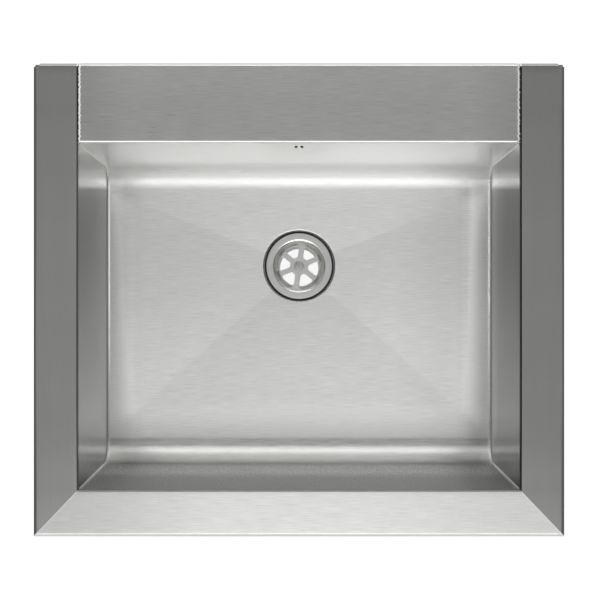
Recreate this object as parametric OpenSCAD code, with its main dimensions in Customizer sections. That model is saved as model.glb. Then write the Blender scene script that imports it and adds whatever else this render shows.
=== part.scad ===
// Stainless steel inset sink: a folded and welded bowl with a tap ledge at the back.
// It drops into a cut-out and hangs by its rim. Z = 0 is the worktop's top face, +Y is the back.

/* [Rim] */
// Overall width at the foot of the lips
rim_w = 493; // [460:1:560]
// Overall depth, front to back, at the foot of the lips
rim_d = 440; // [420:1:500]
// Height of the rim's top face above the worktop
rim_h = 8; // [6:0.5:12]
// Width of each side flange, bowl edge to lip foot
side_flange = 42; // [38:1:60]
// Width of the front flange, bowl edge to lip foot
front_flange = 44; // [38:1:60]
// Depth of the tap ledge, bowl edge to lip foot
ledge_d = 75; // [60:1:90]
// How far a lip leans outwards between its top and its foot
lip_run = 3; // [1.5:0.25:3.5]
// Outside radius of the bend between flange and lip
lip_bend = 1.75; // [1.5:0.25:3]
// Length cut off the back lip at each end
lip_relief = 6.5; // [4:0.5:10]
// Depth of the side flange's inner leg beside the ledge
ledge_leg = 4.5; // [3:0.5:6]

/* [Bowl] */
// Thickness of the steel sheet
sheet_t = 1; // [0.8:0.1:1.2]
// Depth of the bowl at the edges of its floor, below the rim's top
bowl_depth = 200; // [160:1:240]
// Lean of the front and back walls from upright, in degrees
wall_lean = 1.2; // [0.5:0.1:3]
// Inside radius of the floor's front and back bends
floor_bend = 25; // [15:1:40]
// Fall of the floor from its edges to the waste
floor_fall = 4; // [2:0.5:8]
// Outside radius of the bend at the bowl's top edge
rim_bend = 1.5; // [1.25:0.25:3]

/* [Waste] */
// Distance of the waste's centre from the bowl's back edge
waste_back = 109; // [100:1:140]
// Diameter of the hole in the floor
waste_hole = 60; // [58:0.5:61]
// Diameter of the strainer's flange
strainer_d = 70; // [68:0.5:76]
// Thickness of the strainer's metal
strainer_t = 1.5; // [1.2:0.1:2]
// Gap between the strainer's flange and the wall of its recess
recess_gap = 2.75; // [1.5:0.25:4]
// Depth of the pressed recess below the lowest point of the floor
recess_depth = 3; // [2.5:0.25:4]
// Size of the flare round the recess's edge
recess_flare = 1.5; // [1:0.25:2.5]
// Diameter across the top of the strainer's dish
dish_d = 53.4; // [52:0.2:54]
// Depth of the strainer's dish
dish_depth = 7; // [5:0.5:9]
// Diameter of the flat grid at the bottom of the dish
grid_d = 44.4; // [44:0.2:46]
// Number of openings in the grid
openings_n = 6; // [5:1:8]
// Inner radius of the grid's openings
opening_in = 9.8; // [9:0.1:11]
// Outer radius of the grid's openings
opening_out = 21.4; // [20:0.1:21.6]
// Width of the spokes between the openings
spoke_w = 5.8; // [5:0.1:7]
// Angle of the first spoke from the right
spoke_turn = 22; // [0:1:59]
// Corner radius of the openings
opening_r = 1.8; // [1:0.1:2]
// Thickness of the gasket under the strainer's flange
flange_gasket_t = 1.5; // [1:0.1:2]
// Thickness of the gasket below the floor
body_gasket_t = 3; // [2:0.5:4]
// Diameter of the strainer screw's thread
screw_d = 6; // [5:0.5:6]
// Diameter of the strainer screw's head
screw_head_d = 11; // [10:0.5:13]
// Length of the strainer screw under its head
screw_l = 33; // [31:1:36]

/* [Waste body] */
// Outer diameter of the threaded tail
tail_d = 47.8; // [46:0.1:48]
// Wall of the threaded tail
tail_wall = 2.2; // [1.8:0.1:2.4]
// Length of the threaded tail
tail_l = 35; // [25:1:50]
// Outer diameter of the waste body's chamber
chamber_d = 64; // [62:0.5:70]
// Wall of the chamber
chamber_wall = 3; // [2:0.25:4]
// Height of the chamber
chamber_h = 41; // [40:1:55]
// Height of the shoulder between chamber and tail
shoulder_h = 8; // [5:1:12]
// Thickness of the waste body's top flange
body_flange_t = 4; // [3:0.5:6]
// Diameter of the hub in the chamber
hub_d = 15; // [14:0.5:18]
// Length of the hub
hub_l = 24; // [22:1:28]
// Diameter of the brass insert in the hub
insert_d = 10; // [9:0.5:11]
// Length of the brass insert
insert_l = 12; // [10:1:16]
// Thickness of the ribs that carry the hub
hub_rib_t = 3; // [2:0.25:4]
// Number of ribs that carry the hub
hub_ribs = 3; // [2:1:3]

/* [Overflow] */
// Depth of the overflow slots' middle below the rim's top
slot_drop = 30; // [28:1:45]
// Length of each overflow slot
slot_l = 15; // [10:0.5:18]
// Width of each overflow slot
slot_w = 2.5; // [2:0.1:3.5]
// Distance between the two slots' middles
slot_gap = 5.6; // [5:0.1:8]
// Width of the overflow housing
housing_w = 40; // [36:1:44]
// Height of the overflow housing
housing_h = 38; // [34:1:44]
// Wall of the overflow housing
housing_wall = 3; // [2:0.5:4]
// Length of the housing's spout
spout_l = 18; // [14:1:24]
// Thickness of the overflow gasket
overflow_gasket_t = 2; // [1:0.5:3]
// Distance between the overflow's two studs
stud_gap = 52; // [50:1:56]
// Diameter of the overflow's studs
stud_d = 4; // [3:0.5:5]
// Length of the overflow's studs
stud_l = 13; // [12:1:18]
// Distance of the hose's upright run behind the bowl's back edge
hose_back = 18; // [15:1:20]
// Outer diameter of the hose and of its spouts
hose_d = 24; // [22:1:25]
// Bore of the hose
hose_bore = 16; // [12:1:18]
// Distance between the hose's ribs
rib_pitch = 4; // [3:0.5:6]
// Height of a rib above the hose's wall
rib_h = 1.5; // [1:0.25:2]
// Radius of the hose's bend, at its middle
hose_bend = 40; // [36:1:44]
// Outer diameter of the hose nuts
hose_nut_d = 33; // [31:0.5:36]
// Length of the hose nuts
hose_nut_l = 18; // [14:1:24]
// Distance of the overflow spigot's axis below the waste body's top
spigot_drop = 25; // [24:1:32]
// Length of the overflow spigot outside the chamber
spigot_l = 22; // [18:1:30]

/* [Clips] */
// Distance of the clips' screws from the foot of the lips
clip_inset = 25.5; // [24:0.5:27]
// Distance of the side clips from the middle, front and back
clip_side_y = 110; // [90:1:130]
// Distance of the front and back clips from the middle
clip_end_x = 120; // [90:1:150]
// Width of a clip's bracket
bracket_w = 16; // [14:1:20]
// Thickness of a clip's bracket
bracket_t = 1.5; // [1.2:0.1:2]
// Height of the bracket's foot below the worktop's top face
bracket_drop = 28; // [26:1:32]
// Diameter of the clamping screw
clip_screw_d = 5; // [4:0.5:6]
// Travel of the clamping screw in its nut
clip_travel = 25; // [20:1:26]
// Reach of the claw from its screw
claw_reach = 30; // [28:1:34]
// Width of the claw
claw_w = 14; // [12:0.5:14]
// Thickness of the claw
claw_t = 2; // [1.5:0.25:2.5]
// Height of the claw's toothed end above its base
claw_rise = 12; // [9:0.5:14]

/* [Seal and pads] */
// Width of the foam seal under the rim
seal_w = 10; // [8:0.5:10]
// Thickness of the sound-deadening pads
pad_t = 2; // [1.5:0.5:3]
// Length of the pads on the end walls
side_pad_l = 180; // [120:5:220]
// Height of the pads on the end walls
side_pad_h = 90; // [60:5:110]

/* [Hidden] */
$fn = 96;

// Clearances: a running fit on a pivot, a loose fit between fixed pieces, and a cutter's overshoot
running = 0.05;
loose = 0.3;
over = 1;

// Colours of the finishes
steel = [0.74, 0.74, 0.73];
wall_steel = [0.66, 0.66, 0.65];
zinc = [0.62, 0.63, 0.65];
brass = [0.78, 0.64, 0.32];
black_rubber = [0.06, 0.06, 0.06];
grey_foam = [0.25, 0.25, 0.26];
white_plastic = [0.88, 0.88, 0.86];
grey_plastic = [0.55, 0.56, 0.57];

// Edges of the bowl's opening, and levels
bowl_half = rim_w / 2 - side_flange;
back_edge = rim_d / 2 - ledge_d;
front_edge = rim_d / 2 - front_flange;
floor_z = rim_h - bowl_depth;
waste_y = back_edge - waste_back;
low_z = floor_z - floor_fall;
seat_z = low_z - recess_depth;
recess_r = strainer_d / 2 + recess_gap;
lip_lean = atan(lip_run / rim_h);
body_z = seat_z - sheet_t - body_gasket_t;
far = 2 * max(rim_w, rim_d);

// Offset of a leaning wall at height z. side is 1 for the back wall and -1 for the front one,
// edge is its distance from the middle at the rim, out is how far it is set outwards.
function wall_at(edge, z, out, lean) = edge + out / cos(lean) - (rim_h - z) * tan(lean);

// Half width at height z of the block that the lips enclose, out is how far it is set inwards.
function lip_at(half, z, in) = half - in / cos(lip_lean) - z * tan(lip_lean);

// Centres of the floor bends, as distances from the middle
back_bend_y = wall_at(back_edge, floor_z + floor_bend, -floor_bend, wall_lean);
front_bend_y = wall_at(front_edge, floor_z + floor_bend, -floor_bend, wall_lean);

// Carries a section drawn in Y and Z along X, or one drawn in X and Z along Y
module along_x(length) {
    rotate([90, 0, 90]) linear_extrude(length, center = true) children();
}
module along_y(length) {
    rotate([90, 0, 0]) linear_extrude(length, center = true) children();
}

// Section of the block inside the lips, in millimetres inside the outer face
module rim_block_section(half, in, bottom) {
    r = lip_bend - in;
    cz = rim_h - lip_bend;
    cx = lip_at(half, cz, lip_bend);
    tx = cx + r * cos(lip_lean);
    tz = cz + r * sin(lip_lean);
    foot = lip_at(half, bottom, in);
    polygon([[foot, bottom], [tx, tz], [cx, rim_h - in], [-cx, rim_h - in], [-tx, tz], [-foot, bottom]]);
    for (side = [-1, 1]) translate([side * cx, cz]) circle(r);
}

module rim_block(in, bottom) {
    intersection() {
        along_x(far) rim_block_section(rim_d / 2, in, bottom);
        along_y(far) rim_block_section(rim_w / 2, in, bottom);
    }
}

// The rounded-over top edge of one wall, as the space above the bend
module rim_flare_section(edge, out, lean) {
    r = rim_bend - out;
    cz = rim_h - rim_bend;
    cx = wall_at(edge, cz, rim_bend, lean);
    fx = cx - r * cos(lean);
    fz = cz + r * sin(lean);
    difference() {
        polygon([[cx, cz], [fx, fz], [fx - rim_bend, fz], [fx - rim_bend, rim_h + over], [cx, rim_h + over]]);
        translate([cx, cz]) circle(r);
    }
}

// Section of the bowl's space from front to back, set outwards by out, up to the height top
module long_section(out, top) {
    r = floor_bend + out;
    cz = floor_z + floor_bend;
    tx = r * cos(wall_lean);
    tz = cz - r * sin(wall_lean);
    polygon([
        [wall_at(back_edge, top, out, wall_lean), top],
        [back_bend_y + tx, tz],
        [back_bend_y, floor_z - out],
        [-front_bend_y, floor_z - out],
        [-front_bend_y - tx, tz],
        [-wall_at(front_edge, top, out, wall_lean), top]
    ]);
    translate([back_bend_y, cz]) circle(r);
    translate([-front_bend_y, cz]) circle(r);
    if (top > rim_h) {
        rim_flare_section(back_edge, out, wall_lean);
        mirror([1, 0]) rim_flare_section(front_edge, out, wall_lean);
    }
}

// Section of the bowl's space from side to side
module cross_section(out, top) {
    half = bowl_half + out;
    deep = floor_z - floor_bend;
    translate([-half, deep]) square([2 * half, top - deep]);
    if (top > rim_h) {
        for (side = [0, 1]) mirror([side, 0]) rim_flare_section(bowl_half, out, 0);
    }
}

module bowl_space(out, top) {
    intersection() {
        along_x(far) long_section(out, top);
        along_y(far) cross_section(out, top);
    }
}

// The floor's four slopes, which fall from its edges to the waste, as a shallow upturned pyramid
module floor_slopes(out, top) {
    intersection() {
        along_x(2 * bowl_half) polygon([
            [back_bend_y, top], [back_bend_y, floor_z - out],
            [waste_y, low_z - out],
            [-front_bend_y, floor_z - out], [-front_bend_y, top]
        ]);
        along_y(far) polygon([
            [bowl_half, top], [bowl_half, floor_z - out],
            [0, low_z - out],
            [-bowl_half, floor_z - out], [-bowl_half, top]
        ]);
    }
}

// The round recess in which the strainer's flange lies
module waste_recess(out, top) {
    translate([0, waste_y, seat_z - out]) cylinder(r = recess_r + out, h = top - seat_z + out);
    translate([0, waste_y, low_z - recess_flare - out])
        cylinder(r1 = recess_r + out, r2 = recess_r + out + 2 * recess_flare, h = 2 * recess_flare);
}

module floor_pan(out, top) {
    floor_slopes(out, top);
    waste_recess(out, top);
}

// Places its children at height z on the outer face of the back wall, with +Y away from the wall
module on_back_wall(z) {
    translate([0, wall_at(back_edge, z, sheet_t, wall_lean), z]) rotate([-wall_lean, 0, 0]) children();
}

slot_z = rim_h - slot_drop;

module overflow_slots() {
    straight = slot_l - slot_w;
    on_back_wall(slot_z) for (side = [-1, 1]) translate([side * slot_gap / 2, 0, 0]) {
        cube([slot_w, 4 * sheet_t + over, straight], center = true);
        for (end = [-1, 1]) translate([0, 0, end * straight / 2]) rotate([90, 0, 0])
            cylinder(d = slot_w, h = 4 * sheet_t + over, center = true);
    }
}

// All three sheets as one bent shell of even thickness
module folded_shell() {
    difference() {
        union() {
            rim_block(0, 0);
            bowl_space(sheet_t, rim_h / 2);
            floor_pan(sheet_t, floor_z - sheet_t / 2);
        }
        bowl_space(0, rim_h + over);
        floor_pan(0, floor_z + over);
        difference() {
            rim_block(sheet_t, -over);
            bowl_space(sheet_t, rim_h + over);
        }
        translate([0, waste_y, seat_z - 2 * sheet_t]) cylinder(d = waste_hole, h = 4 * sheet_t);
        overflow_slots();
    }
}

// Plan of the centre sheet: as wide as the bowl, with a front flange mitred to the outer corners.
// The mitres run on past the corners, so that they cut the lips as well.
module centre_plan() {
    past_x = bowl_half + 1.5 * side_flange;
    past_y = front_edge + 1.5 * front_flange;
    polygon([
        [-bowl_half, rim_d], [bowl_half, rim_d], [bowl_half, -front_edge], [past_x, -past_y],
        [-past_x, -past_y], [-bowl_half, -front_edge]
    ]);
}

module centre_sheet() {
    color(steel) intersection() {
        folded_shell();
        translate([0, 0, floor_z - bowl_depth]) linear_extrude(2 * bowl_depth) centre_plan();
    }
}

seal_half_w = lip_at(rim_w / 2, rim_h - lip_bend, lip_bend) - loose;
seal_half_d = lip_at(rim_d / 2, rim_h - lip_bend, lip_bend) - loose;

// The back corner, where the two lips are cut short of each other
module corner_relief() {
    corner_x = rim_w / 2;
    corner_y = rim_d / 2;
    lip_end = corner_x - lip_relief;
    top_y = corner_y - lip_run;
    translate([0, 0, -over]) linear_extrude(rim_h + 2 * over) polygon([
        [lip_end, top_y], [lip_end - lip_run - over, corner_y + over],
        [corner_x + over, corner_y + over], [corner_x + over, top_y]
    ]);
    translate([lip_end, top_y - 2 * sheet_t, -over]) cube([far, far, rim_h - sheet_t + over]);
}

// What is left out beside the ledge, under the flange's inner bend: the leg ends above the worktop
// and short of the seal
module beside_ledge() {
    start = back_edge + sheet_t;
    leg_end = seal_half_d - seal_w - loose;
    leg_z = rim_h - rim_bend - ledge_leg;
    wide = rim_bend + 2 * over;
    translate([bowl_half - over, start, -over]) cube([wide, far, leg_z + over]);
    translate([bowl_half - over, leg_end, -over]) cube([wide, far, rim_h - sheet_t + over]);
}

// Side flange with its lips, one bend along its whole inner edge and the bowl's end wall below it
module side_sheet() {
    difference() {
        intersection() {
            union() {
                rim_block(0, 0);
                along_x(2 * (bowl_half + sheet_t)) long_section(sheet_t, rim_h / 2);
            }
            translate([0, 0, floor_z - bowl_depth]) linear_extrude(2 * bowl_depth) difference() {
                translate([0, -far / 2]) square(far);
                centre_plan();
            }
        }
        along_y(far) rim_flare_section(bowl_half, 0, 0);
        difference() {
            rim_block(sheet_t, -over);
            along_y(far) {
                translate([0, -far / 2]) square([bowl_half + sheet_t, far]);
                rim_flare_section(bowl_half, sheet_t, 0);
            }
        }
        beside_ledge();
        corner_relief();
    }
}

module right_sheet() {
    color(wall_steel) side_sheet();
}

module left_sheet() {
    color(wall_steel) mirror([1, 0, 0]) side_sheet();
}

// Foam strip between the flange's underside and the worktop
module rim_seal() {
    color(grey_foam) linear_extrude(rim_h - sheet_t) difference() {
        square([2 * seal_half_w, 2 * seal_half_d], center = true);
        square([2 * (seal_half_w - seal_w), 2 * (seal_half_d - seal_w)], center = true);
    }
}

// Pad that follows the underside of the floor's slopes
module floor_pad() {
    margin = floor_bend;
    keep_off = recess_r + 2 * recess_flare + floor_bend;
    length = front_bend_y + back_bend_y - 2 * margin;
    color(black_rubber) difference() {
        intersection() {
            floor_slopes(sheet_t + pad_t, floor_z);
            translate([0, (back_bend_y - front_bend_y) / 2, floor_z])
                cube([2 * (bowl_half - 2 * margin), length, 2 * bowl_depth / 3], center = true);
        }
        floor_slopes(sheet_t, floor_z + over);
        translate([0, waste_y, floor_z - bowl_depth / 3]) cylinder(r = keep_off, h = bowl_depth);
    }
}

module side_pads() {
    mid_y = (back_edge - front_edge) / 2;
    color(black_rubber) for (side = [0, 1]) mirror([side, 0, 0])
        translate([bowl_half + sheet_t, mid_y - side_pad_l / 2, floor_z + floor_bend])
            cube([pad_t, side_pad_l, side_pad_h]);
}

// Turns a corner from angle a to angle b on a circle, for a lathe section
function arc_points(cx, cy, r, a, b, n) =
    [for (i = [0 : n]) [cx + r * cos(a + (b - a) * i / n), cy + r * sin(a + (b - a) * i / n)]];

strainer_z = seat_z + flange_gasket_t + strainer_t;

// Half section of the strainer: rounded rim, flat flange, rolled shoulder, cone and flat grid
module strainer_section() {
    flange_r = strainer_d / 2;
    dish_r = dish_d / 2;
    grid_r = grid_d / 2;
    cone = atan((dish_depth - strainer_t) / (dish_r - grid_r));
    polygon(concat(
        [[0, -dish_depth - strainer_t], [grid_r, -dish_depth - strainer_t]],
        [[dish_r, -strainer_t - (dish_r - grid_r) * (1 - cos(cone))]],
        [[dish_r + strainer_t, -strainer_t], [flange_r, -strainer_t]],
        arc_points(flange_r - strainer_t / 2, -strainer_t / 2, strainer_t / 2, 0, 90, 4),
        arc_points(dish_r + strainer_t, -strainer_t, strainer_t, 90, 90 + cone, 5),
        [[grid_r, -dish_depth], [0, -dish_depth]]
    ));
}

module strainer_openings() {
    offset(r = opening_r, $fn = 32) offset(delta = -opening_r) difference() {
        circle(opening_out);
        circle(opening_in);
        for (i = [0 : openings_n - 1]) rotate(spoke_turn + i * 360 / openings_n)
            translate([0, -spoke_w / 2]) square([strainer_d, spoke_w]);
    }
}

module strainer() {
    color(steel) translate([0, waste_y, strainer_z]) difference() {
        rotate_extrude() strainer_section();
        translate([0, 0, -2 * dish_depth]) linear_extrude(2 * dish_depth) strainer_openings();
        translate([0, 0, -2 * dish_depth]) cylinder(d = screw_d + loose, h = 2 * dish_depth);
    }
}

// Level of the grid's top face, and of the hub's lower end. A screw's tip stands out of its nut by
// tip_out.
tip_out = 1;
head_z = strainer_z - dish_depth;
hub_low = head_z - screw_l + tip_out;

// Slotted screw with a low domed head
module strainer_screw() {
    head_h = 2.4;
    edge_h = 1.2;
    slot = 1.6;
    head_r = screw_head_d / 2;
    dome = (head_r * head_r + (head_h - edge_h) * (head_h - edge_h)) / (2 * (head_h - edge_h));
    color(steel) translate([0, waste_y, head_z]) difference() {
        union() {
            intersection() {
                cylinder(r = head_r, h = head_h);
                translate([0, 0, head_h - dome]) sphere(r = dome);
            }
            translate([0, 0, -screw_l]) cylinder(d = screw_d, h = screw_l);
        }
        translate([-slot / 2, -screw_head_d, edge_h]) cube([slot, 2 * screw_head_d, head_h]);
    }
}

module washer(inner, outer, height) {
    difference() {
        cylinder(r = outer, h = height);
        translate([0, 0, -over]) cylinder(r = inner, h = height + 2 * over);
    }
}

module flange_gasket() {
    color(black_rubber) translate([0, waste_y, seat_z])
        washer(waste_hole / 2, recess_r - 2 * loose, flange_gasket_t);
}

module body_gasket() {
    color(black_rubber) translate([0, waste_y, body_z])
        washer(chamber_d / 2 - chamber_wall, recess_r, body_gasket_t);
}

tail_r = tail_d / 2;
chamber_r = chamber_d / 2;
chamber_in = chamber_r - chamber_wall;
chamber_end = -body_flange_t - chamber_h;
spigot_z = body_z - spigot_drop;
spigot_end = chamber_r + spigot_l;

// Waste chamber with a see-through tail, and a hub on ribs that stand behind the strainer's spokes
module waste_body() {
    tail_in = tail_r - tail_wall;
    shoulder = chamber_end - shoulder_h;
    hub_z = hub_low - body_z;
    rib_in = 2;
    color(white_plastic) translate([0, waste_y, body_z]) difference() {
        union() {
            rotate_extrude() polygon([
                [chamber_in, 0], [recess_r + sheet_t, 0], [recess_r + sheet_t, -body_flange_t],
                [chamber_r, -body_flange_t], [chamber_r, chamber_end], [tail_r, shoulder],
                [tail_r, shoulder - tail_l], [tail_in, shoulder - tail_l],
                [tail_in, shoulder], [chamber_in, chamber_end + tail_wall]
            ]);
            translate([0, 0, hub_z]) cylinder(d = hub_d, h = hub_l);
            for (i = [0 : hub_ribs - 1]) rotate(spoke_turn + i * 360 / hub_ribs)
                translate([0, -hub_rib_t / 2, hub_z + rib_in])
                    cube([chamber_in + chamber_wall / 2, hub_rib_t, hub_l - 2 * rib_in]);
            translate([0, 0, -spigot_drop]) rotate([-90, 0, 0])
                translate([0, 0, chamber_in + chamber_wall / 2])
                    cylinder(d = hose_d, h = spigot_end - chamber_in - chamber_wall / 2);
        }
        translate([0, 0, -spigot_drop]) rotate([-90, 0, 0]) translate([0, 0, hub_d])
            cylinder(d = hose_bore, h = spigot_end);
        translate([0, 0, hub_z - over]) cylinder(d = screw_d + loose, h = hub_l + 2 * over);
        translate([0, 0, hub_z - over]) cylinder(d = insert_d, h = insert_l + over);
    }
}

module waste_insert() {
    color(brass) translate([0, waste_y, hub_low]) washer(screw_d / 2, insert_d / 2, insert_l);
}

// Rectangular ring round the slots, between wall and housing
module overflow_gasket() {
    ring_w = 3 * housing_wall;
    inner_w = housing_w - 2 * ring_w;
    inner_h = housing_h - 2 * ring_w;
    color(black_rubber) on_back_wall(slot_z) translate([0, overflow_gasket_t / 2, 0]) difference() {
        cube([housing_w, overflow_gasket_t, housing_h], center = true);
        cube([inner_w, 2 * overflow_gasket_t, inner_h], center = true);
    }
}

hose_r = hose_d / 2;
hose_y = back_edge + hose_back;
housing_low = slot_z - housing_h / 2;
spout_z = housing_low - spout_l;

// Thickness and height of the housing's ears
ear_t = 4;
ear_h = 4 * stud_d;

// Box behind the slots, open to them, with a spout below and an ear at each side
module overflow_housing() {
    deep = hose_y + hose_r;
    start = back_edge - floor_bend;
    inner_w = housing_w - 2 * housing_wall;
    inner_h = housing_h - 2 * housing_wall;
    color(grey_plastic) difference() {
        union() {
            translate([-housing_w / 2, start, housing_low]) cube([housing_w, deep - start, housing_h]);
            translate([0, hose_y, spout_z]) cylinder(r = hose_r, h = spout_l + over);
            on_back_wall(slot_z) translate([0, overflow_gasket_t + ear_t / 2, 0])
                cube([stud_gap + ear_h, ear_t, ear_h], center = true);
        }
        translate([-inner_w / 2, start - over, housing_low + housing_wall])
            cube([inner_w, deep - start - housing_wall + over, inner_h]);
        translate([0, hose_y, spout_z - over]) cylinder(d = hose_bore, h = spout_l + housing_h / 2);
        on_back_wall(slot_z) translate([-far / 2, overflow_gasket_t - far, -far / 2]) cube(far);
        on_back_wall(slot_z) for (side = [-1, 1]) translate([side * stud_gap / 2, 0, 0])
            rotate([-90, 0, 0]) cylinder(d = stud_d + loose, h = 2 * stud_l);
    }
}

module overflow_studs() {
    color(zinc) on_back_wall(slot_z) for (side = [-1, 1]) translate([side * stud_gap / 2, 0, 0])
        rotate([-90, 0, 0]) cylinder(d = stud_d, h = stud_l);
}

module overflow_nuts() {
    color(zinc) on_back_wall(slot_z) for (side = [-1, 1])
        translate([side * stud_gap / 2, overflow_gasket_t + ear_t, 0]) rotate([-90, 0, 0]) difference() {
            cylinder(d = 2 * stud_d, h = 0.8 * stud_d, $fn = 6);
            translate([0, 0, -over]) cylinder(d = stud_d + 2 * running, h = stud_d + 2 * over);
        }
}

// Straight run of hose along +Z: smooth over its first stretch, then ribbed
module hose_run(length, smooth) {
    root = hose_r - rib_h;
    n = floor((length - smooth) / rib_pitch);
    cylinder(r = hose_r, h = smooth);
    translate([0, 0, smooth / 2]) cylinder(r = root, h = length - smooth / 2);
    for (i = [0 : n - 1]) translate([0, 0, smooth + (i + 0.5) * (length - smooth) / n])
        cylinder(r = hose_r, h = rib_pitch / 2);
}

// Ribbed hose: down behind the back wall, round one bend and forward to the waste body
module overflow_hose() {
    bend_z = spigot_z + hose_bend;
    bend_y = hose_y - hose_bend;
    level_l = bend_y - waste_y - spigot_end;
    ribs = floor(hose_bend * PI / 2 / rib_pitch);
    turn = 90 / ribs;
    half = turn / 4;
    color(grey_plastic) difference() {
        union() {
            translate([0, hose_y, spout_z]) mirror([0, 0, 1]) hose_run(spout_z - bend_z, hose_d);
            translate([0, waste_y + spigot_end, spigot_z]) rotate([-90, 0, 0])
                hose_run(level_l, min(hose_d, level_l - rib_pitch));
            translate([0, bend_y, bend_z]) rotate([0, 90, 0]) rotate_extrude(angle = 90)
                translate([hose_bend, 0]) circle(hose_r - rib_h);
            for (i = [0 : ribs - 1]) translate([0, bend_y, bend_z]) rotate([0, 90, 0])
                rotate((i + 0.5) * turn - half) rotate_extrude(angle = 2 * half)
                    translate([hose_bend, 0]) circle(hose_r);
        }
        translate([0, hose_y, bend_z]) cylinder(d = hose_bore, h = spout_z - bend_z + over);
        translate([0, waste_y + spigot_end - over, spigot_z]) rotate([-90, 0, 0])
            cylinder(d = hose_bore, h = level_l + over);
        translate([0, bend_y, bend_z]) rotate([0, 90, 0]) rotate_extrude(angle = 90)
            translate([hose_bend, 0]) circle(d = hose_bore);
    }
}

// Coupling nut with grip flats, centred on a joint between spout and hose
module hose_nut() {
    grips = 10;
    grip_r = 2;
    grip_depth = 1;
    grip_x = hose_nut_d / 2 + grip_r - grip_depth;
    difference() {
        cylinder(d = hose_nut_d, h = hose_nut_l, center = true);
        cylinder(d = hose_d + loose, h = 2 * hose_nut_l, center = true);
        for (i = [0 : grips - 1]) rotate(i * 360 / grips) translate([grip_x, 0, 0])
            cylinder(r = grip_r, h = 2 * hose_nut_l, center = true);
    }
}

module upper_hose_nut() {
    color(white_plastic) translate([0, hose_y, spout_z]) hose_nut();
}

module lower_hose_nut() {
    color(white_plastic) translate([0, waste_y + spigot_end, spigot_z]) rotate([90, 0, 0]) hose_nut();
}

// Places of the clips: x, y and the direction in which the claw reaches when it is swung out
clip_x = rim_w / 2 - clip_inset;
clip_y = rim_d / 2 - clip_inset;
clips = [
    [clip_x, clip_side_y, 0], [clip_x, -clip_side_y, 0],
    [-clip_end_x, clip_y, 90], [clip_end_x, clip_y, 90],
    [-clip_x, clip_side_y, 180], [-clip_x, -clip_side_y, 180],
    [-clip_end_x, -clip_y, 270], [clip_end_x, -clip_y, 270]
];

// Thickness of a bracket's foot, height and width of its nut, and gap to the claw drawn right up
foot_t = 2;
nut_h = 0.8 * clip_screw_d;
nut_d = 1.8 * clip_screw_d;
clip_gap = 2;
claw_z = -bracket_drop - clip_gap - claw_t - clip_travel;
clip_screw_l = foot_t + nut_h + tip_out - bracket_drop - claw_z;

module at_clip(i) {
    translate([clips[i][0], clips[i][1], 0]) rotate(clips[i][2]) children();
}

// Z-shaped bracket: a tab welded under the flange, an upright strap and a foot with the screw's hole
module clip_bracket() {
    strap_x = -claw_w / 2 - 2 * loose - bracket_t;
    tab_l = 14;
    top = rim_h - sheet_t;
    difference() {
        union() {
            translate([strap_x, -bracket_w / 2, -bracket_drop])
                cube([bracket_t, bracket_w, top + bracket_drop]);
            translate([strap_x, -bracket_w / 2, top - bracket_t]) cube([tab_l, bracket_w, bracket_t]);
            translate([strap_x, -bracket_w / 2, -bracket_drop])
                cube([claw_w / 2 - strap_x, bracket_w, foot_t]);
        }
        translate([0, 0, -bracket_drop - over]) cylinder(d = clip_screw_d + 2 * running, h = foot_t + 2 * over);
    }
}

module clip_brackets() {
    color(zinc) for (i = [0 : len(clips) - 1]) at_clip(i) clip_bracket();
}

module clip_nuts() {
    color(zinc) for (i = [0 : len(clips) - 1]) at_clip(i)
        translate([0, 0, foot_t - bracket_drop]) difference() {
            cylinder(d = nut_d, h = nut_h, $fn = 6);
            translate([0, 0, -over]) cylinder(d = clip_screw_d + 2 * running, h = nut_h + 2 * over);
        }
}

// Clamping screw, head down, at the bottom of its travel
module clip_screw(i) {
    head_h = 3.5;
    tip = 0.6;
    r = clip_screw_d / 2;
    color(zinc) at_clip(i) translate([0, 0, claw_z]) difference() {
        union() {
            translate([0, 0, -head_h]) cylinder(d = nut_d, h = head_h);
            cylinder(r = r, h = clip_screw_l - tip);
            translate([0, 0, clip_screw_l - tip]) cylinder(r1 = r, r2 = r - tip, h = tip);
        }
        translate([0, 0, -head_h - over]) cylinder(d = clip_screw_d, h = head_h / 2 + over, $fn = 6);
    }
}

// Claw on its screw, stowed along the rim
module clip_claw(i) {
    teeth = 3;
    tooth = claw_w / teeth;
    color(zinc) at_clip(i) rotate(-90) translate([0, 0, claw_z]) difference() {
        union() {
            cylinder(d = claw_w, h = claw_t);
            translate([0, -claw_w / 2, 0]) cube([claw_reach, claw_w, claw_t]);
            translate([claw_reach - claw_t, -claw_w / 2, 0]) cube([claw_t, claw_w, claw_rise + claw_t]);
        }
        translate([0, 0, -over]) cylinder(d = clip_screw_d + 2 * running, h = claw_t + 2 * over);
        for (k = [1 : teeth - 1])
            translate([claw_reach, -claw_w / 2 + k * tooth, claw_rise + claw_t]) rotate([45, 0, 0])
                cube([3 * claw_t, tooth / 2, tooth / 2], center = true);
    }
}

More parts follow.
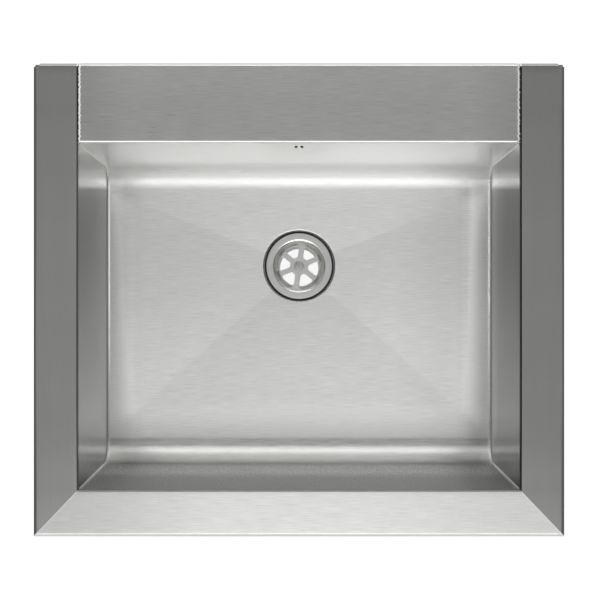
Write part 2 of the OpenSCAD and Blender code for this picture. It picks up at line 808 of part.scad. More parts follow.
centre_sheet();
left_sheet();
right_sheet();
rim_seal();
floor_pad();
side_pads();
strainer();
strainer_screw();
flange_gasket();
body_gasket();
waste_body();
waste_insert();
overflow_gasket();
overflow_housing();
overflow_studs();
overflow_nuts();
overflow_hose();
upper_hose_nut();
lower_hose_nut();
clip_brackets();
clip_nuts();
clip_screw(0);  // clip_screw_1
clip_screw(1);  // clip_screw_2
clip_screw(2);  // clip_screw_3
clip_screw(3);  // clip_screw_4
clip_screw(4);  // clip_screw_5
clip_screw(5);  // clip_screw_6
clip_screw(6);  // clip_screw_7
clip_screw(7);  // clip_screw_8
clip_claw(0);  // clip_claw_1
clip_claw(1);  // clip_claw_2
clip_claw(2);  // clip_claw_3
clip_claw(3);  // clip_claw_4
clip_claw(4);  // clip_claw_5
clip_claw(5);  // clip_claw_6
clip_claw(6);  // clip_claw_7
clip_claw(7);  // clip_claw_8
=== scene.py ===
"""Looks of the stainless steel inset sink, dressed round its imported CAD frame.

+Z points up out of the bowl, +Y to the tap ledge at the back, and Z = 0 is the worktop's top face.
Sizes are in metres and repeat those of the part's source. Every grain map runs U across the brush
marks and V along them.
"""

import math

import bpy
import numpy as np
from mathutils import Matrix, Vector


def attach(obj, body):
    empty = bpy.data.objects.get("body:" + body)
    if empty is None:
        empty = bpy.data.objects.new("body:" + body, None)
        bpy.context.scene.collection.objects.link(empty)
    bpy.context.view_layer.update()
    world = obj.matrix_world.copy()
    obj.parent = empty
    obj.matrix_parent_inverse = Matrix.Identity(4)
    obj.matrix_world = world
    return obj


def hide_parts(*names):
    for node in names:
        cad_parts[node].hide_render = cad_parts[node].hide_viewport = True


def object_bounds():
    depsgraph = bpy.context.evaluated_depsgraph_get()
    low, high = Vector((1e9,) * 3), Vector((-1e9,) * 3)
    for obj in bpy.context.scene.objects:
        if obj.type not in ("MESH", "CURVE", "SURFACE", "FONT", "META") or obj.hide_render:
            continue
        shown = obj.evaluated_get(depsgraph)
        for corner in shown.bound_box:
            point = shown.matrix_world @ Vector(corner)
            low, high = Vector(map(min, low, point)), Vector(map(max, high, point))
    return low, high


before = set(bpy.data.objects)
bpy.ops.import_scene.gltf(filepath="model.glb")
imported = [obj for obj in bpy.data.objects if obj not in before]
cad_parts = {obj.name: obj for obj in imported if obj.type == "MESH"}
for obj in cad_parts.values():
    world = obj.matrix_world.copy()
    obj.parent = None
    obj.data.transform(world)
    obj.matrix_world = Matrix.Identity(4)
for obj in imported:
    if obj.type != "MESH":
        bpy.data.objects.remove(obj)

cad_low, cad_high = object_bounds()

# Rim: half its width and depth, its height, and the bend and lean of its lips
HALF_W, HALF_D, RIM_H = 0.2465, 0.220, 0.008
LIP_BEND, LIP_LEAN = 0.00175, math.atan(0.003 / 0.008)
# Bowl: half its width, its back and front edges at the rim, the bends and the lean of the long walls
BOWL_HALF, BACK_EDGE, FRONT_EDGE = 0.2045, 0.145, 0.176
SHEET, RIM_BEND, FLOOR_BEND = 0.001, 0.0015, 0.025
WALL_LEAN = math.radians(1.2)
MITRE = (HALF_W - BOWL_HALF) / (HALF_D - FRONT_EDGE)
# Floor: height at its edges, at the waste and in the recess, then the waste's place and radii
FLOOR_Z, LOW_Z, SEAT_Z = -0.192, -0.196, -0.199
WASTE_Y, HOLE_R, RECESS_R = 0.036, 0.030, 0.03775
WASTE = (0.0, WASTE_Y, 0.0)
# Side sheets: where the flange's flat ends, its back corner, and the leg beside the ledge
LIP_END, CORNER_Y, LEG_END, LEG_Z = 0.240, 0.217, 0.2052, 0.002
# Overflow slots: place, radius and half their straight, and the patch of wall round them, as half its
# width, its foot and its top
SLOT_Z, SLOT_X, SLOT_R, SLOT_STRAIGHT = -0.022, 0.0028, 0.00125, 0.00625
SLOT_CELL = (0.015, -0.040, -0.004)
# Strainer: height and radius of its flange, thickness, dish and grid, then the six openings and spokes
STRAINER_Z, STRAINER_R, STRAINER_T = -0.196, 0.035, 0.0015
DISH_R, GRID_R, DISH_DEPTH = 0.0267, 0.0222, 0.007
OPEN_IN, OPEN_OUT, OPEN_CORNER, SPOKE, SPOKE_TURN = 0.0098, 0.0214, 0.0018, 0.0029, math.radians(22)
# Gasket rings: inner and outer radius, foot, top and edge radius
FLANGE_GASKET = (HOLE_R, RECESS_R - 0.0006, SEAT_Z, SEAT_Z + 0.0015, 0.0005)
BODY_GASKET = (0.029, RECESS_R, -0.203, -0.200, 0.0007)
# Overflow hose: its upright line, top, bend, level line and end, then its radii and smooth ends
HOSE_Y, HOSE_TOP, HOSE_BEND, HOSE_Z, HOSE_END = 0.163, -0.059, 0.040, -0.228, 0.090
HOSE_R, HOSE_ROOT, HOSE_BORE, HOSE_SMOOTH = 0.012, 0.0105, 0.008, 0.024
# Clips: where each screw stands
CLIPS = [(0.221, 0.110), (0.221, -0.110), (-0.120, 0.1945), (0.120, 0.1945),
         (-0.221, 0.110), (-0.221, -0.110), (-0.120, -0.1945), (0.120, -0.1945)]
# Slack when points are picked by their place
SLACK = 1e-9


# Mesh helpers
def grid_quads(rows, columns, start):
    """Corner numbers of the quads between neighbouring points of a rows by columns grid."""
    index = start + np.arange(rows * columns).reshape(rows, columns)
    return np.stack([index[:-1, :-1], index[1:, :-1], index[1:, 1:], index[:-1, 1:]], -1).reshape(-1, 4)


def surface(name, patches, body, material, sharp=40.0):
    """One mesh from grids of points. Each patch is (points, grain map, material number), points that
    coincide to a micrometre are welded, quads with a side of no length become triangles, and free edges
    and those bent by more than sharp degrees stay crisp."""
    points, maps, quads, numbers = [], [], [], []
    start = 0
    for grid, grain, number in patches:
        rows, columns = grid.shape[:2]
        cells = grid_quads(rows, columns, start)
        points.append(grid.reshape(-1, 3))
        maps.append(np.zeros((rows * columns, 2)) if grain is None else grain.reshape(-1, 2))
        quads.append(cells)
        numbers.append(np.full(len(cells), number))
        start += rows * columns
    points, maps = np.concatenate(points), np.concatenate(maps)
    quads, numbers = np.concatenate(quads), np.concatenate(numbers)
    _, first, merged = np.unique(np.round(points * 1e6).astype(np.int64), axis=0,
                                 return_index=True, return_inverse=True)
    welded = merged.reshape(-1)[quads]
    same = welded == np.roll(welded, -1, axis=1)
    whole = same.sum(1) == 0
    three = same.sum(1) == 1
    keep = np.argsort(same[three], axis=1, kind="stable")[:, :3]
    keep.sort(axis=1)
    loops = np.concatenate([welded[whole].ravel(), np.take_along_axis(welded[three], keep, 1).ravel()])
    source = np.concatenate([quads[whole].ravel(), np.take_along_axis(quads[three], keep, 1).ravel()])
    sides = np.concatenate([np.full(whole.sum(), 4), np.full(three.sum(), 3)])
    mesh = bpy.data.meshes.new(name)
    mesh.vertices.add(len(first))
    mesh.vertices.foreach_set("co", points[first].astype(np.float32).ravel())
    mesh.loops.add(len(loops))
    mesh.loops.foreach_set("vertex_index", loops.astype(np.int32))
    mesh.polygons.add(len(sides))
    starts = np.concatenate([[0], np.cumsum(sides)[:-1]])
    mesh.polygons.foreach_set("loop_start", starts.astype(np.int32))
    numbers = np.concatenate([numbers[whole], numbers[three]])
    mesh.polygons.foreach_set("material_index", numbers.astype(np.int32))
    mesh.update(calc_edges=True)
    layer = mesh.uv_layers.new(name="grain")
    layer.data.foreach_set("uv", maps[source].astype(np.float32).ravel())
    mesh.validate()
    mesh.shade_smooth()
    mesh.set_sharp_from_angle(angle=math.radians(sharp))
    used = np.zeros(len(mesh.loops), np.int32)
    mesh.loops.foreach_get("edge_index", used)
    crisp = np.zeros(len(mesh.edges), bool)
    mesh.edges.foreach_get("use_edge_sharp", crisp)
    crisp |= np.bincount(used, minlength=len(mesh.edges)) == 1
    mesh.edges.foreach_set("use_edge_sharp", crisp)
    piece = bpy.data.objects.new(name, mesh)
    bpy.context.scene.collection.objects.link(piece)
    for one in material if isinstance(material, (list, tuple)) else [material]:
        mesh.materials.append(one)
    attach(piece, body)
    return piece


def thicken(piece, depth):
    """Gives a sheet its thickness on the side away from its face."""
    wall = piece.modifiers.new("thickness", "SOLIDIFY")
    wall.thickness, wall.offset, wall.use_even_offset = depth, -1, True


def spread(points):
    """Length along a row of points, from its first one."""
    steps = np.linalg.norm(np.diff(points, axis=0), axis=1)
    return np.concatenate([[0.0], np.cumsum(steps)])


def arc(centre, radius, a, b, count):
    """Points on a circle from angle a to angle b, in degrees."""
    t = np.radians(np.linspace(a, b, count))
    return np.stack([centre[0] + radius * np.cos(t), centre[1] + radius * np.sin(t)], -1)


def loop_at(outline, centre, directions):
    """Where rays from the centre, at the given angles, cross a closed outline that they see whole:
    the outline's radius is interpolated over its angle."""
    rel = outline - centre
    turn = np.arctan2(rel[:, 1], rel[:, 0])
    order = np.argsort(turn)
    radius = np.interp(directions, turn[order], np.hypot(*rel[order].T), period=2 * math.pi)
    return centre + radius[:, None] * np.stack([np.cos(directions), np.sin(directions)], -1)


# Turned and swept shapes
FULL_TURN = 2 * math.pi


def turned(radius, height, centre, angles):
    """Radius and height given along a section (rows) and round the axis (columns), as points with a
    grain that runs round. The surface faces outwards where the section runs down."""
    shape = (len(radius), len(angles))
    radius, height = np.broadcast_to(radius, shape), np.broadcast_to(height, shape)
    points = np.stack([centre[0] + radius * np.cos(angles), centre[1] + radius * np.sin(angles),
                       centre[2] + height], -1)
    across = spread(np.stack([radius[:, 0], height[:, 0]], -1))
    return points, np.stack(np.broadcast_arrays(across[:, None], radius.max() * angles), -1), 0


def lathe(section, centre, count=96):
    """A section of radius and height turned round an upright axis."""
    return turned(section[:, :1], section[:, 1:], centre, np.linspace(0, FULL_TURN, count + 1))


def rounded_section(inner, outer, low, high, radius, count=5):
    """Closed section of a ring with rounded edges, that runs down its outer side."""
    corners = [((outer - radius, high - radius), 90), ((outer - radius, low + radius), 0),
               ((inner + radius, low + radius), -90), ((inner + radius, high - radius), 180)]
    arcs = [arc(centre, radius, turn, turn - 90, count) for centre, turn in corners]
    return np.concatenate(arcs + [arcs[0][:1]])


def framed(section, half_x, half_y, count):
    """A closed section of distance outwards and height, carried round a rectangle with mitred corners."""
    corners = np.array([(1, -1), (1, 1), (-1, 1), (-1, -1), (1, -1)])
    share = np.linspace(0, 1, count)[:-1, None]
    path = np.concatenate([a + (b - a) * share for a, b in zip(corners[:-1], corners[1:])] + [corners[-1:]])
    half = np.array([half_x, half_y]) + section[:, :1]
    height = np.broadcast_to(section[:, None, 1:], (len(section), len(path), 1))
    points = np.concatenate([path[None] * half[:, None], height], -1)
    along = spread(path * [half_x, half_y])
    across = spread(section)
    return points, np.stack(np.broadcast_arrays(across[:, None], along[None]), -1), 0


def waver(place, size, seed, count=6):
    """A smooth random value from 0 to 1 at each place: the mean of sine waves in seeded directions."""
    random = np.random.default_rng(seed)
    total = np.zeros(place.shape[:-1])
    for _ in range(count):
        direction = random.normal(size=place.shape[-1])
        wave = FULL_TURN / size * random.uniform(0.6, 1.6) * direction / np.linalg.norm(direction)
        total = total + np.sin(place @ wave + random.uniform(0, FULL_TURN))
    return 0.5 + 0.5 * total / count


def thread(height, angles, outer, depth, pitch):
    """Radius of a screw thread with a flat crest and root, at heights (rows) and angles (columns)."""
    phase = height / pitch - angles / FULL_TURN
    wave = np.abs(2 * (phase - np.floor(phase)) - 1)
    return outer - depth * (1 - np.clip(1.5 * wave - 0.25, 0, 1))


def hexagon(angles, corner):
    """Radius of a hexagon's outline at each angle, for its corner radius."""
    turn = np.mod(angles, math.pi / 3) - math.pi / 6
    return corner * math.cos(math.pi / 6) / np.cos(turn)


# The folded sheets
def bend_centre(edge):
    """Distance from the middle of the floor bend under a wall, from that wall's edge at the rim."""
    return edge - FLOOR_BEND / math.cos(WALL_LEAN) - (RIM_H - FLOOR_Z - FLOOR_BEND) * math.tan(WALL_LEAN)


FLOOR_BACK, FLOOR_FRONT = bend_centre(BACK_EDGE), -bend_centre(FRONT_EDGE)


def sheet_profile(edge):
    """Distance from the middle and height along one half of the centre sheet, from the floor to the
    lip's foot: floor bend, leaning wall, bend over the rim, flange, lip bend and leaning lip."""
    lean = math.degrees(WALL_LEAN)
    low = arc((bend_centre(edge), FLOOR_Z + FLOOR_BEND), FLOOR_BEND, -90, -lean, 33)
    _, cell_low, cell_top = SLOT_CELL
    heights = np.concatenate([np.linspace(low[-1, 1], cell_low, 8)[1:-1],
                              np.linspace(cell_low, cell_top, 13), [0.001]])
    wall = np.stack([edge - (RIM_H - heights) * math.tan(WALL_LEAN), heights], -1)
    over = edge + RIM_BEND / math.cos(WALL_LEAN) - RIM_BEND * math.tan(WALL_LEAN)
    rim = arc((over, RIM_H - RIM_BEND), RIM_BEND, 180 - lean, 90, 9)
    lip_d, lip_foot = lip_section(HALF_D)
    flat = np.linspace(over, lip_d[0, 0], 12)[1:-1]
    flat = np.stack([flat, np.full(len(flat), RIM_H)], -1)
    return np.concatenate([low, wall, rim, flat, lip_d, lip_foot])


def lip_section(half):
    """The lip's bend and its leaning face down to the foot, for a rim of that half width."""
    centre = half - LIP_BEND / math.cos(LIP_LEAN) - (RIM_H - LIP_BEND) * math.tan(LIP_LEAN)
    bend = arc((centre, RIM_H - LIP_BEND), LIP_BEND, 90, math.degrees(LIP_LEAN), 9)
    foot = np.linspace(bend[-1], [half, 0.0], 4)[1:]
    return bend, foot


def floor_grid(across, along):
    """The floor as rays from the waste's centre: rings of the pressed recess, then straight on to the
    floor's rectangle. Height falls evenly along each ray, which makes the four slopes of a shallow
    upturned pyramid, and the recess eases into them."""
    back, front = along[-1], along[0]
    edge = np.concatenate([
        np.stack([across[:-1], np.full(len(across) - 1, front)], -1),
        np.stack([np.full(len(along) - 1, across[-1]), along[:-1]], -1),
        np.stack([across[:0:-1], np.full(len(across) - 1, back)], -1),
        np.stack([np.full(len(along) - 1, across[0]), along[:0:-1]], -1),
        [[across[0], front]],
    ])
    centre = np.array([0.0, WASTE_Y])
    reach = np.linalg.norm(edge - centre, axis=1)
    ray = (edge - centre) / reach[:, None]
    # Rings round the waste as (radius, share of the recess's depth)
    rings, sunk = np.array([
        (HOLE_R, 1), (0.0315, 1), (0.034, 1), (0.0362, 1), (0.0370, 1), (0.0375, 0.985), (0.03768, 0.92),
        (0.03776, 0.75), (0.03780, 0.5), (0.03786, 0.30), (0.0380, 0.16), (0.0382, 0.08), (0.0385, 0.035),
        (0.0389, 0.012), (0.0394, 0.003), (0.0402, 0), (0.0425, 0), (0.046, 0)]).T
    share = np.linspace(0, 1, 26)[1:] ** 1.3
    radius = np.concatenate([np.repeat(rings[:, None], len(edge), 1),
                             rings[-1] + (reach[None] - rings[-1]) * share[:, None]])
    slope = LOW_Z + (FLOOR_Z - LOW_Z) * radius / reach[None]
    sunk = np.concatenate([sunk, np.zeros(len(share))])[:, None]
    height = slope + (SEAT_Z - slope) * sunk
    place = centre + ray[None] * radius[..., None]
    return np.concatenate([place, height[..., None]], -1), place


def overflow_cell(side, across, wall):
    """Half of the back wall's patch round the overflow: straight lines from an upright slot's outline
    out to the patch's edge, laid on the leaning wall."""
    width, low, top = SLOT_CELL
    xs = across[(across >= -SLACK) & (across <= width + SLACK)]
    zs = wall[(wall >= low - SLACK) & (wall <= top + SLACK)]
    edge = np.concatenate([
        np.stack([xs[:-1], np.full(len(xs) - 1, low)], -1),
        np.stack([np.full(len(zs) - 1, width), zs[:-1]], -1),
        np.stack([xs[:0:-1], np.full(len(xs) - 1, top)], -1),
        np.stack([np.zeros(len(zs) - 1), zs[:0:-1]], -1),
        [[xs[0], low]],
    ])
    centre = np.array([SLOT_X, SLOT_Z])
    left, right = SLOT_X - SLOT_R, SLOT_X + SLOT_R
    foot, head = SLOT_Z - SLOT_STRAIGHT, SLOT_Z + SLOT_STRAIGHT
    outline = np.concatenate([arc((SLOT_X, head), SLOT_R, 0, 180, 24),
                              np.linspace((left, head), (left, foot), 60),
                              arc((SLOT_X, foot), SLOT_R, 180, 360, 24),
                              np.linspace((right, foot), (right, head), 60)])
    rel = edge - centre
    inner = loop_at(outline, centre, np.arctan2(rel[:, 1], rel[:, 0]))
    share = np.array([0, 0.12, 0.35, 0.65, 1.0])[:, None, None]
    flat = inner[None] + (edge - inner)[None] * share
    depth = BACK_EDGE - (RIM_H - flat[..., 1]) * math.tan(WALL_LEAN)
    points = np.stack([side * flat[..., 0], depth, flat[..., 1]], -1)
    grain = np.stack([flat[..., 1], side * flat[..., 0]], -1)
    return (points, grain) if side > 0 else (points[:, ::-1], grain[:, ::-1])


def centre_patches():
    """Front strip, floor and back strip of the centre sheet. The front flange widens to the mitres."""
    cell_half, cell_foot, cell_top = SLOT_CELL
    middle = np.linspace(0, cell_half, 16)
    outer = np.linspace(cell_half, BOWL_HALF, 40)[1:]
    across = np.concatenate([-outer[::-1], -middle[:0:-1], middle, outer])
    out = []
    profiles = {side: sheet_profile(edge) for side, edge in ((-1, FRONT_EDGE), (1, BACK_EDGE))}
    for side, profile in profiles.items():
        run = spread(profile)
        if side < 0:
            profile, run = profile[::-1], -run[::-1]
            widen = 1 + np.clip(profile[:, 0] - FRONT_EDGE, 0, None) * MITRE / BOWL_HALF
        else:
            widen = np.ones(len(profile))
        x = across[:, None] * widen[None]
        shape = x.shape
        points = np.stack([x, np.broadcast_to(side * profile[:, 0], shape),
                           np.broadcast_to(profile[:, 1], shape)], -1)
        grain = np.stack([np.broadcast_to(run + side * profiles[side][0, 0], shape), x], -1)
        if side < 0:
            out.append((points, grain, 0))
            continue
        columns = np.flatnonzero(np.abs(across) <= cell_half + SLACK)
        rows = np.flatnonzero((profile[:, 1] >= cell_foot - SLACK) & (profile[:, 1] <= cell_top + SLACK)
                              & (profile[:, 0] < BACK_EDGE))
        a, b, c, d = columns[0], columns[-1], rows[0], rows[-1]
        for xs, ys in ((slice(0, a + 1), slice(None)), (slice(b, None), slice(None)),
                       (slice(a, b + 1), slice(0, c + 1)), (slice(a, b + 1), slice(d, None))):
            out.append((points[xs, ys], grain[xs, ys], 0))
        for half in (-1, 1):
            cell, cell_grain = overflow_cell(half, across, profile[rows, 1])
            cell_grain[..., 0] += run[c] + profiles[1][0, 0] - cell_foot
            out.append((cell, cell_grain, 0))
    along = np.concatenate([np.linspace(-profiles[-1][0, 0], WASTE_Y, 30),
                            np.linspace(WASTE_Y, profiles[1][0, 0], 15)[1:]])
    points, place = floor_grid(across, along)
    out.append((points, place[..., ::-1], 0))
    return out


def side_patches():
    """The right-hand sheet: inner bend, flange, lip bend and lip carried from the front mitre to the
    back, the leg beside the ledge, the end wall of the bowl and the short lip at the back."""
    rim = arc((BOWL_HALF + RIM_BEND, RIM_H - RIM_BEND), RIM_BEND, 180, 90, 9)
    bend, foot = lip_section(HALF_W)
    flat = np.concatenate([np.linspace(rim[-1, 0], LIP_END, 12)[1:], [bend[0, 0]]])
    flat = np.stack([flat, np.full(len(flat), RIM_H)], -1)
    section = np.concatenate([rim, flat, bend[1:], foot])
    back_bend, back_foot = lip_section(HALF_D)
    stop = back_bend[0, 0]
    steps = np.linspace(0, 1, 60)
    start = -FRONT_EDGE - (section[:, 0] - BOWL_HALF) / MITRE
    y = start[:, None] + (stop - start)[:, None] * steps[None]
    run = spread(section)

    def carried(part, ys, across):
        """Section points carried along Y."""
        shape = ys.shape
        points = np.stack([np.broadcast_to(part[:, :1], shape), ys, np.broadcast_to(part[:, 1:], shape)], -1)
        return points, np.stack([np.broadcast_to(across[:, None], shape), ys], -1)

    # The flange's finish goes on round 4 points of the lip's bend, and the back corner ends after 6
    after_flat = len(rim) + len(flat)
    at_lip_end, bent, corner_stop = after_flat - 2, after_flat + 4, after_flat + 6
    out = [(*carried(section[:bent], y[:bent], run[:bent]), 0),
           (*carried(section[bent - 1:], y[bent - 1:], run[bent - 1:]), 1)]
    ledge = np.linspace(stop, CORNER_Y, 4)
    for part, number in ((slice(at_lip_end, bent), 0), (slice(bent - 1, corner_stop), 1)):
        rows = section[part]
        out.append((*carried(rows, np.broadcast_to(ledge, (len(rows), 4)), run[part]), number))
    top = section[len(rim) - 1:at_lip_end + 1]
    lip = np.concatenate([back_bend, back_foot])
    shape = (len(top), len(lip))
    points = np.stack([np.broadcast_to(top[:, :1], shape), np.broadcast_to(lip[:, 0], shape),
                       np.broadcast_to(lip[:, 1], shape)], -1)
    out.append((points, np.stack([np.broadcast_to(top[:, :1], shape),
                                  np.broadcast_to(stop + spread(lip), shape)], -1), 0))
    ys = np.linspace(BACK_EDGE + SHEET, LEG_END, 20)
    leg = np.stack([np.full(5, BOWL_HALF), np.linspace(LEG_Z, RIM_H - RIM_BEND, 5)], -1)
    out.append((*carried(leg, np.broadcast_to(ys, (5, 20)), leg[:, 1] - leg[-1, 1]), 0))
    out.extend(end_wall())
    return out


def end_wall():
    """The bowl's flat end wall, one sheet thickness larger all round than the bowl's long section:
    rows between the leaning walls, then columns down to the floor bends and floor."""
    lean = math.tan(WALL_LEAN)
    set_out = SHEET / math.cos(WALL_LEAN)
    radius = FLOOR_BEND + SHEET
    turn = FLOOR_Z + FLOOR_BEND - radius * math.sin(WALL_LEAN)
    share = 0.5 - 0.5 * np.cos(np.linspace(0, math.pi, 70))
    z = np.linspace(turn, RIM_H - RIM_BEND, 30)
    front = -(FRONT_EDGE + set_out - (RIM_H - z) * lean)
    back = BACK_EDGE + set_out - (RIM_H - z) * lean
    y = front[:, None] + (back - front)[:, None] * share[None]
    upper = np.stack([np.full(y.shape, BOWL_HALF), y, np.broadcast_to(z[:, None], y.shape)], -1)
    foot = y[0]
    beyond = np.clip(np.maximum(FLOOR_FRONT - foot, foot - FLOOR_BACK), 0, radius)
    bottom = FLOOR_Z + FLOOR_BEND - np.sqrt(radius ** 2 - beyond ** 2)
    rows = bottom[None] + (turn - bottom)[None] * np.linspace(0, 1, 6)[:, None]
    ys = np.broadcast_to(foot, rows.shape)
    lower = np.stack([np.full(rows.shape, BOWL_HALF), ys, rows], -1)
    return [(grid, np.stack([grid[..., 2], grid[..., 1]], -1), 0) for grid in (upper, lower)]


def mirrored(patches):
    """The same grids on the other side of X = 0, turned so that they still face outwards."""
    return [(points[::-1] * [-1, 1, 1], grain[::-1], number) for points, grain, number in patches]


# Shader helpers
def add(tree, kind, inputs=None, **settings):
    """One shader node: settings are its own options, inputs are sockets to join or values to set."""
    made = tree.nodes.new(kind)
    for key, value in settings.items():
        setattr(made, key, value)
    for key, value in (inputs or {}).items():
        if isinstance(value, bpy.types.NodeSocket):
            tree.links.new(value, made.inputs[key])
        else:
            made.inputs[key].default_value = value
    return made


def math_node(tree, operation, a, b=0.0, c=0.0):
    """The result of one sum on sockets or numbers."""
    return add(tree, "ShaderNodeMath", {0: a, 1: b, 2: c}, operation=operation).outputs[0]


def times(tree, *values):
    """Values multiplied together."""
    total = values[0]
    for value in values[1:]:
        total = math_node(tree, "MULTIPLY", total, value)
    return total


def weighted(tree, base, *parts):
    """A base value plus each part by its weight. Parts are (value, weight)."""
    for value, weight in parts:
        base = math_node(tree, "MULTIPLY_ADD", value, weight, base)
    return base


def vector_node(tree, operation, a, b=(0.0, 0.0, 0.0)):
    """The result of one sum on vectors."""
    return add(tree, "ShaderNodeVectorMath", {0: a, 1: b}, operation=operation).outputs[0]


def scaled(tree, colour, factor):
    """A colour made lighter or darker by a factor."""
    return add(tree, "ShaderNodeVectorMath", {0: colour, "Scale": factor}, operation="SCALE").outputs[0]


def axes(tree, vector):
    """X, Y and Z of a vector."""
    return add(tree, "ShaderNodeSeparateXYZ", {0: vector}).outputs


def object_place(tree):
    """Each point's place in the part's own frame."""
    return add(tree, "ShaderNodeTexCoord").outputs["Object"]


def grain_map(tree):
    """Each point's place on its sheet, U across the marks and V along them."""
    return add(tree, "ShaderNodeUVMap", None, uv_map="grain").outputs[0]


def remap(tree, value, low, high, to_low=0.0, to_high=1.0):
    """A value carried smoothly from one range to another, and held at the ends."""
    inputs = {"Value": value, "From Min": low, "From Max": high, "To Min": to_low, "To Max": to_high}
    return add(tree, "ShaderNodeMapRange", inputs, interpolation_type="SMOOTHSTEP").outputs["Result"]


def zone(tree, value, low, high, soft):
    """1 where a value lies between two levels, 0 elsewhere, over soft edges."""
    rising = remap(tree, value, low - soft, low + soft)
    return times(tree, rising, remap(tree, value, high - soft, high + soft, 1.0, 0.0))


def levels(tree, value, stops):
    """A level read off a row of (value, level) stops, straight between them and held at the ends."""
    low, high = stops[0][0], stops[-1][0]
    share = add(tree, "ShaderNodeMapRange", {"Value": value, "From Min": low, "From Max": high})
    ramp = add(tree, "ShaderNodeValToRGB", {"Fac": share.outputs["Result"]})
    points = ramp.color_ramp.elements
    while len(points) < len(stops):
        points.new(0.5)
    for point, (at, level) in zip(points, stops):
        point.position, point.color = (at - low) / (high - low), (level, level, level, 1.0)
    return ramp.outputs["Color"]


def mixed(tree, factor, a, b):
    """Two levels mixed by a factor."""
    return add(tree, "ShaderNodeMix", {"Factor": factor, "A": a, "B": b}).outputs[0]


def blend_colour(tree, factor, a, b):
    """Two colours mixed by a factor."""
    a, b = (colour if isinstance(colour, bpy.types.NodeSocket) else (*colour, 1.0) for colour in (a, b))
    return add(tree, "ShaderNodeMix", {"Factor": factor, 6: a, 7: b}, data_type="RGBA").outputs[2]


def noise(tree, vector, scale, detail=2.0, rough=0.5, distortion=0.0):
    """A noise value from 0 to 1."""
    return add(tree, "ShaderNodeTexNoise", {"Vector": vector, "Scale": scale, "Detail": detail,
                                            "Roughness": rough, "Distortion": distortion}).outputs[0]


def thin_line(tree, value, width):
    """1 along the lines where a noise value crosses its middle, 0 away from them."""
    off = math_node(tree, "ABSOLUTE", math_node(tree, "SUBTRACT", value, 0.5))
    return remap(tree, off, 0.0, width, 1.0, 0.0)


def grey(level):
    """Neutral steel colour, a little warmer than grey."""
    return (level, level, 0.982 * level)


def new_material(name, **settings):
    """A material with one Principled shader, whose plain numbers are given by name."""
    material = bpy.data.materials.new(name)
    material.use_nodes = True
    tree = material.node_tree
    shader = next(n for n in tree.nodes if n.type == "BSDF_PRINCIPLED")
    for key, value in settings.items():
        shader.inputs[key.replace("_", " ")].default_value = value
    return material, tree, shader


def join(tree, shader, **values):
    """Values joined to the shader's sockets, which are named with _ for a space."""
    for key, value in values.items():
        tree.links.new(value, shader.inputs[key.replace("_", " ")])


def bump(tree, shader, height, strength, distance):
    """Relief from a height value."""
    relief = add(tree, "ShaderNodeBump", {"Height": height, "Strength": strength, "Distance": distance})
    join(tree, shader, Normal=relief.outputs[0])
    return relief


def follow_grain(tree, shader):
    """Makes highlights stretch across the marks of the grain map, as on real brushed sheet."""
    tangent = add(tree, "ShaderNodeTangent", None, direction_type="UV_MAP", uv_map="grain")
    join(tree, shader, Tangent=tangent.outputs[0])


# Effects that several finishes share
def effect(name, inputs, outputs):
    """An empty shader node group with named inputs and outputs, and its two end nodes."""
    group = bpy.data.node_groups.new(name, "ShaderNodeTree")
    for label, kind, value in inputs:
        socket = group.interface.new_socket(label, in_out="INPUT", socket_type=f"NodeSocket{kind}")
        if value is not None:
            socket.default_value = value
    for label in outputs:
        group.interface.new_socket(label, in_out="OUTPUT", socket_type="NodeSocketFloat")
    return group, group.nodes.new("NodeGroupInput").outputs, group.nodes.new("NodeGroupOutput").inputs


def put_out(group, out, **values):
    """Values joined to the outputs of a node group."""
    for label, value in values.items():
        group.links.new(value, out[label])
    return group


def brush_marks():
    """Brush marks on a grain map whose V runs along them: thin streaks, broad bands and long scratches."""
    group, given, out = effect("brush_marks", [("Grain", "Vector", None), ("Fineness", "Float", 900.0),
                                               ("Length", "Float", 0.06)], ("Fine", "Broad", "Scratch"))
    along = math_node(group, "DIVIDE", 1.0, given["Length"])

    def stretched(share_across, share_along, shift, detail, rough):
        """Noise drawn out along the marks, of its own share of their fineness and length."""
        scale = add(group, "ShaderNodeCombineXYZ", {0: times(group, given["Fineness"], share_across),
                                                    1: times(group, along, share_along), 2: 1.0})
        moved = add(group, "ShaderNodeVectorMath", {0: given["Grain"], 1: scale.outputs[0],
                                                    2: (shift, shift, shift)}, operation="MULTIPLY_ADD")
        return noise(group, moved.outputs[0], 1.0, detail, rough)

    fine = stretched(1.0, 1.0, 0.0, 3.0, 0.65)
    broad = stretched(0.07, 0.3, 17.0, 2.0, 0.5)
    line = stretched(0.35, 0.25, 31.0, 1.0, 0.5)
    where = stretched(0.05, 0.5, 53.0, 1.0, 0.5)
    scratch = times(group, thin_line(group, line, 0.012), remap(group, where, 0.52, 0.62))
    return put_out(group, out, Fine=fine, Broad=broad, Scratch=scratch)


def handling():
    """What use leaves on a surface: soft clouds, small specks and short random scratches."""
    group, given, out = effect("handling", [("Place", "Vector", None), ("Size", "Float", 40.0)],
                               ("Cloud", "Speck", "Scuff"))
    place, size = given["Place"], given["Size"]
    cloud = noise(group, place, size, 3.0, 0.55)
    speck = remap(group, noise(group, place, times(group, size, 30.0), 2.0), 0.62, 0.75)
    swirl = noise(group, place, times(group, size, 4.0), 1.0, 0.5, 1.5)
    scuff = times(group, thin_line(group, swirl, 0.006), remap(group, cloud, 0.5, 0.65))
    return put_out(group, out, Cloud=cloud, Speck=speck, Scuff=scuff)


MARKS = brush_marks()
USE = handling()


def placed(tree, group, **inputs):
    """A node group placed in a material. Returns its outputs."""
    return add(tree, "ShaderNodeGroup", inputs, node_tree=group).outputs


